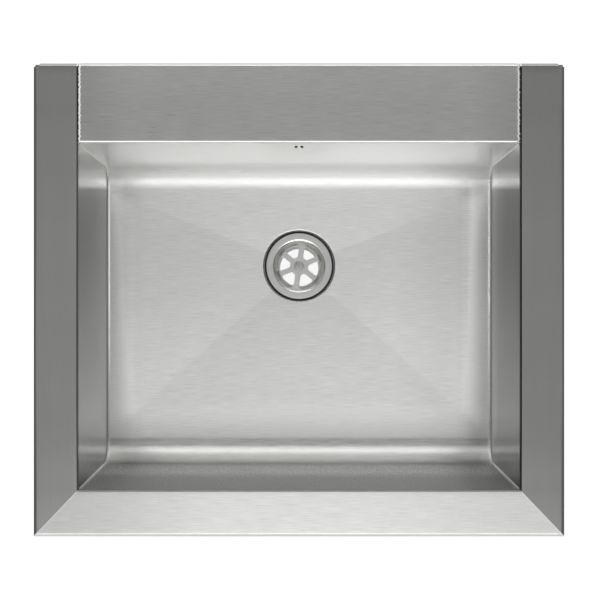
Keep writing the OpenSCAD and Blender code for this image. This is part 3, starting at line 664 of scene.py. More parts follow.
# Painted light and shade on the sheets, standing in for their highlights, reflections and shade: rows of
# (place, level), where level 1 is the brightest steel. The floor's levels across and along are multiplied, so
# that one makes up for what the bends mirror.
FLOOR_PAINTED_LIGHT = [(-0.125, 1.03), (-0.108, 0.95), (0.000, 0.73), (0.112, 0.59), (0.118, 0.61), (0.127, 0.72),
                (0.1335, 0.98), (0.1405, 1.00)]
FLOOR_ACROSS_PAINTED_LIGHT = [(-0.200, 1.75), (-0.192, 1.45), (-0.185, 1.14), (-0.172, 0.93), (-0.150, 0.90),
                (-0.100, 0.93), (0.000, 0.99), (0.100, 1.00), (0.147, 0.925), (0.160, 0.935),
                (0.172, 0.97), (0.179, 1.12), (0.185, 1.52), (0.192, 2.00)]
# Painted light on the floor's back slope and painted shade on its front slope, stepped at the creases
BACK_SLOPE_PAINTED_LIGHT, FRONT_SLOPE_PAINTED_SHADE = 1.03, 0.965
# Painted shade: a dark streak along the front floor bend
FRONT_STREAK_PAINTED_SHADE = 0.61
# The long walls' painted light and shade go by height
BACK_WALL_PAINTED_LIGHT = [(-0.150, 0.98), (-0.030, 1.00)]
FRONT_WALL_PAINTED_LIGHT = [(-0.1905, 0.77), (-0.1856, 0.70), (-0.1813, 0.66), (-0.1747, 0.46), (-0.168, 0.36),
                     (-0.108, 0.48), (-0.068, 0.31)]
# The end walls' painted reflections and shade go by depth at the floor, along lines that run together in a
# point over the bowl at this height, so that the painted bands look level from straight above, as in the
# photograph
END_WALL_PAINTED_LIGHT = [(-0.2032, 0.05), (-0.197, 0.25), (-0.187, 0.60), (-0.178, 0.78), (-0.170, 0.85),
                   (-0.1665, 0.60), (-0.162, 0.72), (-0.154, 0.82), (-0.067, 0.60), (0.043, 0.405),
                   (0.106, 0.39), (0.117, 0.48), (0.123, 1.15), (0.1275, 1.30), (0.133, 1.20),
                   (0.139, 0.90), (0.147, 0.66), (0.153, 0.70), (0.1575, 0.90), (0.161, 1.30)]
FAN_TOP = 1.295
# The flanges' and the ledge's painted light and shade go by depth, and the front flange's is one level
SIDE_FLANGE_PAINTED_LIGHT = [(-0.175, 0.25), (-0.138, 0.34), (-0.101, 0.465), (-0.083, 0.52), (-0.046, 0.555),
                      (-0.009, 0.545), (0.009, 0.505), (0.046, 0.42), (0.083, 0.36), (0.120, 0.34),
                      (0.175, 0.36), (0.212, 0.44)]
LEDGE_PAINTED_LIGHT = [(0.145, 0.405), (0.180, 0.41), (0.217, 0.45)]
FRONT_FLANGE_PAINTED_LIGHT = 0.635
# Towards their ends the front flange and the ledge are painted darker, falling to these shares of their level
LEFT_END_SHARE, RIGHT_END_SHARE, LEDGE_END_SHARE = 0.73, 0.86, 0.86
# Painted light on the front and back lips, painted shade on the side lips
FRONT_LIP_PAINTED_LIGHT, BACK_LIP_PAINTED_LIGHT, LEFT_LIP_PAINTED_SHADE, RIGHT_LIP_PAINTED_SHADE = 0.66, 0.82, 0.16, 0.20
# Painted lines along the bends between bowl and rim, and round the waste's recess: a painted highlight on the
# back bend and round the recess, painted shade on the front and side bends and on the recess's side
BACK_LINE_PAINTED_HIGHLIGHT, FRONT_LINE_PAINTED_SHADE, LEFT_LINE_PAINTED_SHADE, RIGHT_LINE_PAINTED_SHADE = 1.0, 0.24, 0.23, 0.06
RECESS_LINE_PAINTED_HIGHLIGHT, RECESS_SIDE_PAINTED_SHADE = 0.95, 0.08
LINE_SOFT = 0.0002
# Welds: the jagged ones beside the ledge, painted bright, partly as weld metal and partly as a painted glint,
# painted shade in the grooves outside them, and painted highlights on the corners in the bowl
LEFT_WELD_AND_PAINTED_GLINT, RIGHT_WELD_AND_PAINTED_GLINT, GROOVE_PAINTED_SHADE, CORNER_PAINTED_HIGHLIGHT = 0.95, 0.72, 0.06, 1.0
# Where one part of a sheet passes into the next, as (from, to): floor into back wall by depth and by
# height, floor into front wall by depth, rim bends and then flat top by height, and lips by depth
FLOOR_TO_BACK, BACK_WALL_RISES = (0.130, 0.135), (-0.173, -0.170)
FLOOR_TO_FRONT = (-0.1555, -0.1575)
RIM_BENDS, FLAT_TOP = (0.003, 0.006), (0.0055, 0.0070)
FRONT_LIP, BACK_LIP = (-0.2155, -0.2170), (0.2155, 0.2170)


def by_side(tree, x, left, right):
    """One value on the left-hand half of the sink and another on the right-hand half."""
    return remap(tree, x, -0.1, 0.1, left, right)


def mitre_line(tree, side, y):
    """1 on the weld along the front mitres, from the distance to the mitre's line."""
    out = math_node(tree, "SUBTRACT", side, BOWL_HALF)
    down = times(tree, math_node(tree, "ADD", y, FRONT_EDGE), -MITRE)
    gap = math_node(tree, "ABSOLUTE", math_node(tree, "SUBTRACT", out, down))
    bright_half, weld_half, starts, full = 0.0004, 0.0010, 0.0006, 0.0016
    return times(tree, remap(tree, gap, bright_half, weld_half, 1.0, 0.0), remap(tree, out, starts, full))


def floor_level(tree, place):
    """Painted light and shade on the floor: its rows of levels, a painted step at the creases of the back and
    front slopes, a painted highlight line round the recess, painted shade on the recess's side, and a patchy
    painted dark streak along the front bend."""
    x, y, _ = axes(tree, place)
    side = math_node(tree, "ABSOLUTE", x)
    level = times(tree, levels(tree, y, FLOOR_PAINTED_LIGHT), levels(tree, x, FLOOR_ACROSS_PAINTED_LIGHT))
    crease = 0.0006
    for edge, share in ((FLOOR_BACK, BACK_SLOPE_PAINTED_LIGHT), (FLOOR_FRONT, FRONT_SLOPE_PAINTED_SHADE)):
        towards = times(tree, math_node(tree, "SUBTRACT", y, WASTE_Y), BOWL_HALF / (edge - WASTE_Y))
        past = math_node(tree, "SUBTRACT", towards, side)
        level = times(tree, level, remap(tree, past, -crease, crease, 1.0, share))
    waste = add(tree, "ShaderNodeVectorMath", {0: place, 1: (0.0, WASTE_Y, FLOOR_Z)}, operation="DISTANCE")
    radius = waste.outputs["Value"]
    on_line = zone(tree, radius, RECESS_R + 0.0002, RECESS_R + 0.0011, 0.0003)
    level = mixed(tree, on_line, math_node(tree, "MINIMUM", level, 1.0), RECESS_LINE_PAINTED_HIGHLIGHT)
    in_recess = remap(tree, radius, RECESS_R + 0.0001, RECESS_R + 0.0003, 1.0, 0.0)
    level = mixed(tree, in_recess, level, RECESS_SIDE_PAINTED_SHADE)
    drawn_out = vector_node(tree, "MULTIPLY", place, (1.0, 7.0, 7.0))
    patchy = remap(tree, noise(tree, drawn_out, 45.0, 3.0, 0.6), 0.32, 0.68)
    starts, ends, soft, faintest = -0.1570, -0.1475, 0.0022, 0.75
    streak = times(tree, zone(tree, y, starts, ends, soft), remap(tree, patchy, 0.0, 1.0, faintest, 1.0))
    return mixed(tree, streak, level, FRONT_STREAK_PAINTED_SHADE)


def front_wall_level(tree, place):
    """Painted shade on the front wall: its row of levels, gritty from the floor bend up on the inner face,
    and lighter on the outer face.
    """
    _, y, z = axes(tree, place)
    upright = math_node(tree, "MULTIPLY_ADD", z, math.tan(WALL_LEAN), y)
    inner_face = remap(tree, upright, -FRONT_EDGE - 0.0007, -FRONT_EDGE - 0.0003)
    darkest, brightest, outer_face, grit_rises = 0.72, 1.28, 1.5, (-0.172, -0.145)
    drawn_out = vector_node(tree, "MULTIPLY", place, (1.0, 0.12, 0.12))
    grit = remap(tree, noise(tree, drawn_out, 1000.0, 2.0, 0.6), 0.3, 0.7, darkest, brightest)
    grit = mixed(tree, remap(tree, z, *grit_rises), 1.0, mixed(tree, inner_face, outer_face, grit))
    return times(tree, levels(tree, z, FRONT_WALL_PAINTED_LIGHT), grit)


def rim_level(tree, place, bowl, top):
    """Painted light and shade on the centre sheet's top and lips over the bowl's level: the front flange,
    painted darker towards its ends, the ledge, the two lips, and the painted highlight line and painted shade
    line on the bends into the bowl."""
    x, y, z = axes(tree, place)
    left, right, middle = -0.23, 0.23, 0.05
    flange = times(tree, remap(tree, x, left, -middle, LEFT_END_SHARE, 1.0),
                   remap(tree, x, middle, right, 1.0, RIGHT_END_SHARE), FRONT_FLANGE_PAINTED_LIGHT)
    ledge = times(tree, levels(tree, y, LEDGE_PAINTED_LIGHT),
                  remap(tree, math_node(tree, "ABSOLUTE", x), 0.15, 0.20, 1.0, LEDGE_END_SHARE))
    on_back_line = times(tree, zone(tree, y, BACK_EDGE - 0.0002, BACK_EDGE + RIM_BEND + 0.0003, LINE_SOFT),
                         remap(tree, z, 0.0050, 0.0060))
    on_front_line = times(tree, zone(tree, y, -FRONT_EDGE - RIM_BEND, -FRONT_EDGE, LINE_SOFT),
                          remap(tree, z, *RIM_BENDS))
    level = bowl
    for where, polish in (
            (top, mixed(tree, remap(tree, y, -0.1, 0.12), flange, ledge)),
            (remap(tree, y, *FRONT_LIP), remap(tree, z, *RIM_BENDS, FRONT_LIP_PAINTED_LIGHT, 1.0)),
            (remap(tree, y, *BACK_LIP), BACK_LIP_PAINTED_LIGHT),
            (on_back_line, BACK_LINE_PAINTED_HIGHLIGHT),
            (on_front_line, FRONT_LINE_PAINTED_SHADE)):
        level = mixed(tree, where, level, polish)
    return level


def ledge_seam(tree, place, level, top):
    """The level with the seam beside the ledge, where it wanders: a jagged weld painted bright, partly as
    weld metal and partly as a painted glint, painted shade in the groove outside it, and a painted highlight
    on the corner in the bowl below. Also gives where it is weld."""
    x, y, z = axes(tree, place)
    along = add(tree, "ShaderNodeCombineXYZ", {0: by_side(tree, x, 0.0, 1.0), 1: y, 2: 0.0}).outputs[0]
    left_wander, right_wander, jags = 0.0035, 0.0055, 420.0
    wander = times(tree, math_node(tree, "SUBTRACT", noise(tree, along, jags, 2.0, 0.7), 0.5),
                   by_side(tree, x, left_wander, right_wander))
    seam = math_node(tree, "ADD", math_node(tree, "ABSOLUTE", x), wander)
    beside = times(tree, remap(tree, y, BACK_EDGE + 0.0002, BACK_EDGE + 0.0008), top)
    weld = times(tree, zone(tree, seam, BOWL_HALF - 0.0025, BOWL_HALF - 0.0010, 0.00015), beside)
    groove = times(tree, remap(tree, seam, BOWL_HALF - 0.0009, BOWL_HALF - 0.0005), beside)
    share_in_front = 0.3
    corner = times(tree, zone(tree, seam, BOWL_HALF - 0.0036, BOWL_HALF, 0.0003),
                   remap(tree, z, 0.0, 0.004, 1.0, 0.0), remap(tree, y, 0.12, 0.14, share_in_front, 1.0))
    for where, polish in ((weld, by_side(tree, x, LEFT_WELD_AND_PAINTED_GLINT, RIGHT_WELD_AND_PAINTED_GLINT)),
                          (groove, GROOVE_PAINTED_SHADE), (corner, CORNER_PAINTED_HIGHLIGHT)):
        level = mixed(tree, where, level, polish)
    return level, weld


def centre_level(tree, place):
    """Painted light and shade on the centre sheet by place: bright floor and back wall, the back wall a
    little lighter on the right, darker front wall and top, painted highlights and painted shade on the bends,
    and welds painted bright. Returns the level, where it is weld, and where the brushing has left a haze
    along the back bend."""
    x, y, z = axes(tree, place)
    right_share = 1.05
    back_wall = times(tree, levels(tree, z, BACK_WALL_PAINTED_LIGHT), remap(tree, x, -0.05, 0.15, 1.0, right_share))
    above_bend = times(tree, remap(tree, y, *FLOOR_TO_BACK), remap(tree, z, *BACK_WALL_RISES))
    level = mixed(tree, above_bend, floor_level(tree, place), back_wall)
    level = mixed(tree, remap(tree, y, *FLOOR_TO_FRONT), level, front_wall_level(tree, place))
    top = remap(tree, z, *FLAT_TOP)
    level, weld = ledge_seam(tree, place, rim_level(tree, place, level, top), top)
    mitre = mitre_line(tree, math_node(tree, "ABSOLUTE", x), y)
    # The mitre weld is painted bright: partly weld metal, partly a painted glint
    level = mixed(tree, times(tree, mitre, 0.6), level, 0.9)
    haze_foot, haze_top, soft = -0.189, -0.168, 0.001
    haze = times(tree, remap(tree, y, 0.129, 0.135), zone(tree, z, haze_foot, haze_top, soft))
    return level, math_node(tree, "MAXIMUM", weld, times(tree, mitre, 0.5)), haze


def side_level(tree, place):
    """Painted light and shade on the side sheets by place: flange, painted darker on the right, end wall with
    painted reflection bands, darker at its foot and, on the right, painted darker towards its top, and
    painted shade on the inner bend. Returns the level, where it is weld, and no haze."""
    x, y, z = axes(tree, place)
    side = math_node(tree, "ABSOLUTE", x)
    fan = math_node(tree, "DIVIDE", FAN_TOP - FLOOR_Z, math_node(tree, "SUBTRACT", FAN_TOP, z))
    right_top, foot, right_flange = 0.76, 0.8, 0.93
    right = remap(tree, z, -0.185, -0.130, 1.0, right_top)
    bands = times(tree, levels(tree, times(tree, y, fan), END_WALL_PAINTED_LIGHT), by_side(tree, x, 1.0, right))
    wall = times(tree, math_node(tree, "MINIMUM", bands, 1.0), remap(tree, z, -0.187, -0.180, foot, 1.0))
    flange = times(tree, levels(tree, y, SIDE_FLANGE_PAINTED_LIGHT), by_side(tree, x, 1.0, right_flange))
    level = mixed(tree, remap(tree, z, 0.002, 0.005), wall, flange)
    bend = times(tree, zone(tree, side, BOWL_HALF - 0.0004, BOWL_HALF + RIM_BEND, LINE_SOFT),
                 remap(tree, z, 0.001, 0.004))
    level = mixed(tree, bend, level, by_side(tree, x, LEFT_LINE_PAINTED_SHADE, RIGHT_LINE_PAINTED_SHADE))
    mitre = mitre_line(tree, side, y)
    # The mitre weld is painted bright: partly weld metal, partly a painted glint
    return mixed(tree, times(tree, mitre, 0.5), level, 0.8), mitre, 0.0


def side_lip_level(tree, place):
    """Painted shade on the side lips, which are painted darker than the flanges. They have no weld and no
    haze.
    """
    return by_side(tree, axes(tree, place)[0], LEFT_LIP_PAINTED_SHADE, RIGHT_LIP_PAINTED_SHADE), 0.0, 0.0


def brushed_steel(name, level_by_place, fineness, length, contrast, rough, edge=1.0):
    """Brushed stainless steel. The marks darken, roughen and lower the surface a little, and
    highlights stretch across them. edge is how bright it still is at a glancing look."""
    material, tree, shader = new_material(name, Metallic=1.0, Anisotropic=0.9,
                                          Specular_Tint=(edge, edge, edge, 1.0))
    place = object_place(tree)
    marks = placed(tree, MARKS, Grain=grain_map(tree), Fineness=fineness, Length=length)
    use = placed(tree, USE, Place=place, Size=9.0)
    # The level by place is painted light and shade, and sets the colour
    level, weld, haze = level_by_place(tree, place)
    tone = weighted(tree, 0.96 - 0.5 * contrast, (marks["Fine"], contrast), (marks["Broad"], 0.06),
                    (use["Cloud"], 0.04), (marks["Scratch"], 0.05))
    uneven = weighted(tree, rough - 0.05, (marks["Fine"], 0.05), (use["Cloud"], 0.05),
                      (haze, 0.16), (weld, 0.2))
    join(tree, shader, Base_Color=scaled(tree, grey(1.0), times(tree, level, tone)), Roughness=uneven)
    bump(tree, shader, weighted(tree, marks["Fine"], (marks["Scratch"], -0.5), (weld, 3.0)), 0.25, 0.00002)
    follow_grain(tree, shader)
    return material


def turned_steel(name, colour, rough, bright=None):
    """Turned or pressed steel with faint marks round the waste's axis, and a bright inner part within the
    dish, given as its colour and roughness: the lower roughness is its own polish and the lighter colour a
    painted highlight."""
    material, tree, shader = new_material(name, Metallic=1.0, Anisotropic=0.1)
    place = object_place(tree)
    marks = placed(tree, MARKS, Grain=grain_map(tree), Fineness=3000.0, Length=0.05)
    use = placed(tree, USE, Place=place, Size=120.0)
    if bright:
        offset = vector_node(tree, "SUBTRACT", place, WASTE)
        flat = vector_node(tree, "MULTIPLY", offset, (1.0, 1.0, 0.0))
        radius = add(tree, "ShaderNodeVectorMath", {0: flat}, operation="LENGTH").outputs["Value"]
        inner = zone(tree, radius, GRID_R + 0.0002, DISH_R + 0.0018, 0.0003)
        colour = blend_colour(tree, inner, colour, bright[0])
        rough = remap(tree, inner, 0.0, 1.0, rough, bright[1])
    tone = weighted(tree, 0.85, (marks["Fine"], 0.14), (use["Cloud"], 0.16))
    uneven = weighted(tree, rough, (marks["Fine"], 0.08), (use["Scuff"], 0.10))
    join(tree, shader, Base_Color=scaled(tree, colour, tone), Roughness=uneven)
    bump(tree, shader, math_node(tree, "SUBTRACT", marks["Fine"], use["Scuff"]), 0.25, 0.00002)
    follow_grain(tree, shader)
    return material


def worn_metal(name, colour, tint, rough, size, turned_rings=False):
    """Plated or turned metal on Object coordinates: clouded plating with a second tint, small specks
    and scuffs, and for turned work fine rings by height."""
    material, tree, shader = new_material(name, Metallic=1.0)
    place = object_place(tree)
    use = placed(tree, USE, Place=place, Size=size)
    shade = blend_colour(tree, remap(tree, use["Cloud"], 0.35, 0.7), colour, tint)
    tone = weighted(tree, 0.9, (use["Cloud"], 0.25), (use["Speck"], -0.18))
    uneven = weighted(tree, rough - 0.1, (use["Cloud"], 0.2), (use["Scuff"], 0.15))
    join(tree, shader, Base_Color=scaled(tree, shade, tone), Roughness=uneven)
    height = math_node(tree, "SUBTRACT", noise(tree, place, size * 40, 3.0, 0.6), use["Scuff"])
    if turned_rings:
        rings = math_node(tree, "SINE", times(tree, axes(tree, place)[2], 15000.0))
        height = weighted(tree, height, (rings, 0.4))
    bump(tree, shader, height, 0.3, 0.00003)
    return material


def weld_steel():
    """Weld metal along a bead whose V runs along it: bright, a little rough, in overlapping ripples."""
    material, tree, shader = new_material("weld_bead_steel", Metallic=1.0)
    use = placed(tree, USE, Place=object_place(tree), Size=300.0)
    ripple_length = 0.0011
    along = axes(tree, grain_map(tree))[1]
    ripple = math_node(tree, "FRACT", weighted(tree, use["Cloud"], (along, 1 / ripple_length)))
    tone = weighted(tree, 0.90, (use["Cloud"], 0.10))
    join(tree, shader, Base_Color=scaled(tree, grey(1.0), tone),
         Roughness=weighted(tree, 0.38, (use["Speck"], 0.2)))
    bump(tree, shader, ripple, 1.0, 0.0002)
    return material


def moulded(name, colour, rough, grain_size, grain_depth, dust=0.06, specular=0.5, finish=None):
    """Moulded plastic or rubber: fine grained skin, faint dust in clouds, and small scuffs. finish adds
    what only one moulding has."""
    material, tree, shader = new_material(name, Specular_IOR_Level=specular)
    place = object_place(tree)
    use = placed(tree, USE, Place=place, Size=45.0)
    pale = tuple(c + (0.75 - c) * 0.5 for c in colour)
    worn = weighted(tree, 0.0, (remap(tree, use["Cloud"], 0.4, 0.75), dust), (use["Scuff"], 3 * dust))
    join(tree, shader, Base_Color=blend_colour(tree, worn, colour, pale),
         Roughness=weighted(tree, rough - 0.1, (use["Cloud"], 0.2)))
    skin = noise(tree, place, 1 / grain_size, 3.0, 0.6)
    relief = bump(tree, shader, weighted(tree, skin, (use["Scuff"], -0.5)), 0.5, grain_depth)
    if finish:
        finish(tree, shader, place, relief)
    return material


def waste_thread_and_painted_glow(tree, shader, place, relief):
    """The trap's thread on the waste's tail, cut as a helix by height and turn. The chamber above glows with
    painted light, so that it is pale inside."""
    pitch, depth, tail_top, root = 0.00231, 0.0012, -0.2585, 0.0228
    x, y, z = axes(tree, vector_node(tree, "SUBTRACT", place, WASTE))
    radius = math_node(tree, "SQRT", math_node(tree, "ADD", times(tree, x, x), times(tree, y, y)))
    turn = math_node(tree, "DIVIDE", math_node(tree, "ARCTAN2", y, x), FULL_TURN)
    phase = math_node(tree, "FRACT", math_node(tree, "ADD", math_node(tree, "DIVIDE", z, pitch), turn))
    wave = math_node(tree, "ABSOLUTE", math_node(tree, "MULTIPLY_ADD", phase, 2.0, -1.0))
    on_tail = times(tree, remap(tree, z, tail_top, tail_top - 0.002),
                    remap(tree, radius, root, root + 0.0004))
    cut = add(tree, "ShaderNodeBump", {"Height": times(tree, wave, on_tail), "Strength": 1.0,
                                       "Distance": depth})
    tree.links.new(cut.outputs[0], relief.inputs["Normal"])
    # Painted glow: the chamber inside gives off light of its own, where no lamp is
    inside = times(tree, remap(tree, radius, 0.0225, 0.0245, 1.0, 0.0), zone(tree, z, -0.240, -0.198, 0.001))
    join(tree, shader, Emission_Color=scaled(tree, (0.62, 0.62, 0.60), inside))
    shader.inputs["Emission Strength"].default_value = 1.0


def foam_material():
    """Closed-cell foam: cells of several sizes, darker between them."""
    material, tree, shader = new_material("closed_cell_foam", Roughness=0.95)
    place = object_place(tree)
    cells = add(tree, "ShaderNodeTexVoronoi", {"Vector": place, "Scale": 1100.0}, feature="SMOOTH_F1")
    cells = cells.outputs[0]
    use = placed(tree, USE, Place=place, Size=60.0)
    shade = blend_colour(tree, remap(tree, cells, 0.2, 0.7), (0.22, 0.22, 0.23), (0.12, 0.12, 0.125))
    join(tree, shader, Base_Color=scaled(tree, shade, weighted(tree, 0.85, (use["Cloud"], 0.3))))
    bump(tree, shader, cells, 0.6, -0.0002)
    return material


# Finishes of this sink
CENTRE_STEEL = brushed_steel("brushed_steel_centre", centre_level, 1900.0, 0.021, 0.66, 0.29)
SIDE_STEEL = brushed_steel("brushed_steel_sides", side_level, 1500.0, 0.05, 0.12, 0.29)
# The side lips carry painted shade: a dark level, and a low edge tint that darkens their glancing reflections
SHADED_LIP_STEEL = brushed_steel("brushed_steel_side_lips_painted_shade", side_lip_level, 1500.0, 0.05, 0.14, 0.29, edge=0.35)
# The strainer's dish is painted lighter than its flange, a painted highlight on its polish
STRAINER_STEEL = turned_steel("polished_strainer_steel", grey(0.66), 0.32, (grey(0.98), 0.16))
SCREW_STEEL = turned_steel("polished_screw_steel", grey(0.70), 0.58)
WELD_STEEL = weld_steel()
ZINC = worn_metal("zinc_plating", (0.58, 0.60, 0.62), (0.68, 0.66, 0.60), 0.36, 60.0)
BRASS = worn_metal("turned_brass", (0.76, 0.60, 0.30), (0.68, 0.50, 0.24), 0.30, 90.0, True)
FOAM = foam_material()
PAD_RUBBER = moulded("deadening_rubber", (0.055, 0.055, 0.055), 0.85, 0.0015, 0.0002, 0.05, 0.3)
RUBBER = moulded("black_gasket_rubber", (0.022, 0.022, 0.023), 0.62, 0.0004, 0.00003, 0.05, 0.4)
WHITE_PLASTIC = moulded("white_nut_moulding", (0.88, 0.88, 0.86), 0.38, 0.0006, 0.00004)
WASTE_PLASTIC_PAINTED_GLOW = moulded("white_waste_moulding_painted_glow", (0.86, 0.86, 0.84), 0.4, 0.0006, 0.00004, finish=waste_thread_and_painted_glow)
GREY_PLASTIC = moulded("grey_overflow_moulding", (0.48, 0.49, 0.50), 0.45, 0.0007, 0.00005)


# Waste
def opening_outline():
    """Outline of one strainer opening, centred on the X axis: two arcs about the waste's axis, two
    edges beside the spokes, and rounded corners."""
    r = OPEN_CORNER
    near = SPOKE + r
    half = math.pi / 6
    parts = []
    for side in (-1, 1):
        for reach in ((OPEN_OUT - r, OPEN_IN + r) if side > 0 else (OPEN_IN + r, OPEN_OUT - r)):
            turn = side * (half - math.asin(near / reach))
            middle = reach * np.array([math.cos(turn), math.sin(turn)])
            outer = reach > (OPEN_IN + OPEN_OUT) / 2
            radial = math.degrees(turn) + (0 if outer else 180)
            beside = math.degrees(side * (half + math.pi / 2))
            beside = radial + (beside - radial + 180) % 360 - 180
            a, b = (radial, beside) if outer == (side > 0) else (beside, radial)
            parts.append((middle, a, b, math.degrees(turn)))
    corners = [arc(middle, r, a, b, 16) for middle, a, b, _ in parts]
    turns = [turn for *_, turn in parts]
    inner_arc = arc((0, 0), OPEN_IN, turns[3], turns[0], 40)
    outer_arc = arc((0, 0), OPEN_OUT, turns[1], turns[2], 60)
    loop = np.concatenate([*corners[:2], outer_arc, *corners[2:], inner_arc, corners[0][:1]])
    run = spread(loop)
    even = np.linspace(0, run[-1], 2000)[:-1]
    return np.stack([np.interp(even, run, loop[:, k]) for k in (0, 1)], -1)


def strainer_patches():
    """The pressed strainer: flat grid with six openings, cone, rolled shoulder and flange with a rounded
    rim, closed underneath. Each opening's edge is softened."""
    hub_r, screw_hole, soft, t = 0.0076, 0.00315, 0.00025, STRAINER_T
    per, side_steps, sector = 48, 16, math.pi / 3
    outline = opening_outline()
    middle = np.array([(OPEN_IN + OPEN_OUT) / 2, 0.0])
    turn = np.linspace(-sector / 2, sector / 2, per + 1)
    fan = np.stack([np.cos(turn), np.sin(turn)], -1)
    reach = np.linspace(hub_r, GRID_R, side_steps + 1)[:, None]
    boundary = np.concatenate([reach[:-1] * fan[0], GRID_R * fan[:-1], reach[:0:-1] * fan[-1],
                               hub_r * fan[:0:-1], hub_r * fan[:1]])
    rel = boundary - middle
    edge = loop_at(outline, middle, np.arctan2(rel[:, 1], rel[:, 0]))
    out_of = (edge - middle) / np.linalg.norm(edge - middle, axis=1)[:, None]
    rows = [(soft, 0.0), (0.3 * soft, -0.3 * soft), (0.0, -soft),
            (0.0, soft - t), (0.3 * soft, 0.3 * soft - t), (soft, -t)]
    share = np.array([1.0, 0.75, 0.5, 0.25, 0.1])[:, None, None]
    flat = edge + out_of * soft
    cell = flat[None] + (boundary - flat)[None] * share
    loops = np.concatenate([cell, [edge + out_of * o for o, _ in rows], cell[::-1]])
    depth = np.concatenate([np.zeros(5), [z for _, z in rows], np.full(5, -t)]) - DISH_DEPTH
    out = []
    for k in range(6):
        a = SPOKE_TURN + sector / 2 + k * sector
        spin = np.array([[math.cos(a), math.sin(a)], [-math.sin(a), math.cos(a)]])
        plan = loops @ spin
        points = np.concatenate([plan, np.broadcast_to(depth[:, None, None], plan.shape[:2] + (1,))], -1)
        radius = np.hypot(plan[..., 0], plan[..., 1])
        angle = a + np.arctan2(loops[..., 1], loops[..., 0])
        out.append((points + [0, WASTE_Y, STRAINER_Z], np.stack([radius, STRAINER_R * angle], -1), 0))
    cone = math.atan((DISH_DEPTH - t) / (DISH_R - GRID_R))
    lean, roll = math.tan(cone / 2), 0.004
    shoulder = arc((DISH_R + t + (roll - t) * lean, -roll), roll, 90 + math.degrees(cone), 90, 16)
    upper, lower = 0.0002, 0.0006
    rim = np.concatenate([arc((STRAINER_R - upper, -upper), upper, 90, 0, 6),
                          arc((STRAINER_R - lower, lower - t), lower, 0, -90, 6)])
    low_bend = np.array([[DISH_R, -t - (DISH_R - GRID_R) * (1 - math.cos(cone))], [GRID_R, -DISH_DEPTH - t]])
    wall = np.linspace([GRID_R, -DISH_DEPTH], shoulder[0], 5)
    section = np.concatenate([wall[:-1], shoulder, np.linspace(shoulder[-1], rim[0], 5)[1:-1], rim,
                              [[DISH_R + t, -t]], low_bend])
    angles = SPOKE_TURN + np.linspace(0, FULL_TURN, 6 * per + 1)
    hub = np.array([[hub_r, -DISH_DEPTH - t], [screw_hole, -DISH_DEPTH - t],
                    [screw_hole, -DISH_DEPTH], [hub_r, -DISH_DEPTH]])
    for part in (section, hub):
        out.append(turned(part[:, :1], part[:, 1:], (0.0, WASTE_Y, STRAINER_Z), angles))
    return out


def slotted_screw_patches():
    """The strainer's screw: low domed head with a slot cut to the head's edge, and a threaded shank."""
    head, high, edge, slot, shank = 0.0055, 0.0024, 0.0012, 0.0008, 0.003
    pitch, thread_depth, chamfer, tip = 0.001, 0.0005, 0.0006, -0.033
    dome = (head ** 2 + (high - edge) ** 2) / (2 * (high - edge))
    base = STRAINER_Z - DISH_DEPTH
    centre = np.array([0.0, WASTE_Y, base])

    def top(x, y):
        return high - dome + np.sqrt(dome ** 2 - x ** 2 - y ** 2)

    corner = math.acos(slot / head)
    turn = np.linspace(-corner, corner, 49)
    share = np.linspace(0, 1, 9)[:, None]
    y = np.broadcast_to(head * np.sin(turn), (9, 49))
    x = slot + (head * np.cos(turn) - slot) * share
    cap = np.stack([x, y, top(x, y)], -1)
    wall_y = y[0]
    rise = np.linspace(0, 1, 4)[:, None]
    wall_z = edge + (top(slot, wall_y) - edge) * rise
    wall = np.stack([np.full(wall_z.shape, slot), np.broadcast_to(wall_y, wall_z.shape), wall_z], -1)
    gap = np.linspace(corner, math.pi - corner, 9)
    strip = np.linspace(-1, 1, 9)[:, None] * np.ones(49)
    reach = np.sqrt(head ** 2 - (slot * strip) ** 2)
    floor = np.stack([slot * strip, reach * np.linspace(-1, 1, 49), np.full(strip.shape, edge)], -1)
    angles = np.concatenate([turn, gap[1:], turn[1:] + math.pi, gap[1:] + math.pi])
    out = []
    for side in (1, -1):
        for grid in (cap, wall):
            grid = grid * [side, side, 1]
            out.append((grid + centre, grid[..., :2], 0))
    out.append((floor + centre, floor[..., :2], 0))
    out.append(turned(np.array([[head], [head], [shank]]), np.array([[edge], [0], [0]]), centre, angles))
    turns = np.linspace(0, FULL_TURN, 37)
    z = np.concatenate([[0], np.linspace(-0.0015, tip + 0.0005, 250), [tip, tip]])[:, None]
    radius = thread(z, turns, shank, thread_depth, pitch)
    radius[0], radius[-2], radius[-1] = shank, shank - chamfer, 0.0
    out.append(turned(radius, z, centre, turns))
    return out


def dress_waste():
    """Strainer, its screw, and the rubber rings above and below the floor."""
    strainer = surface("strainer_pressing", strainer_patches(), "sink", STRAINER_STEEL)
    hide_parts("strainer")
    screw = surface("strainer_screw_slotted", slotted_screw_patches(), "sink", SCREW_STEEL)
    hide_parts("strainer_screw")
    for node, sizes in (("flange_gasket", FLANGE_GASKET), ("body_gasket", BODY_GASKET)):
        ring = lathe(rounded_section(*sizes), WASTE)
        gasket = surface(f"{node}_ring", [ring], "sink", RUBBER)
        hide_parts(node)


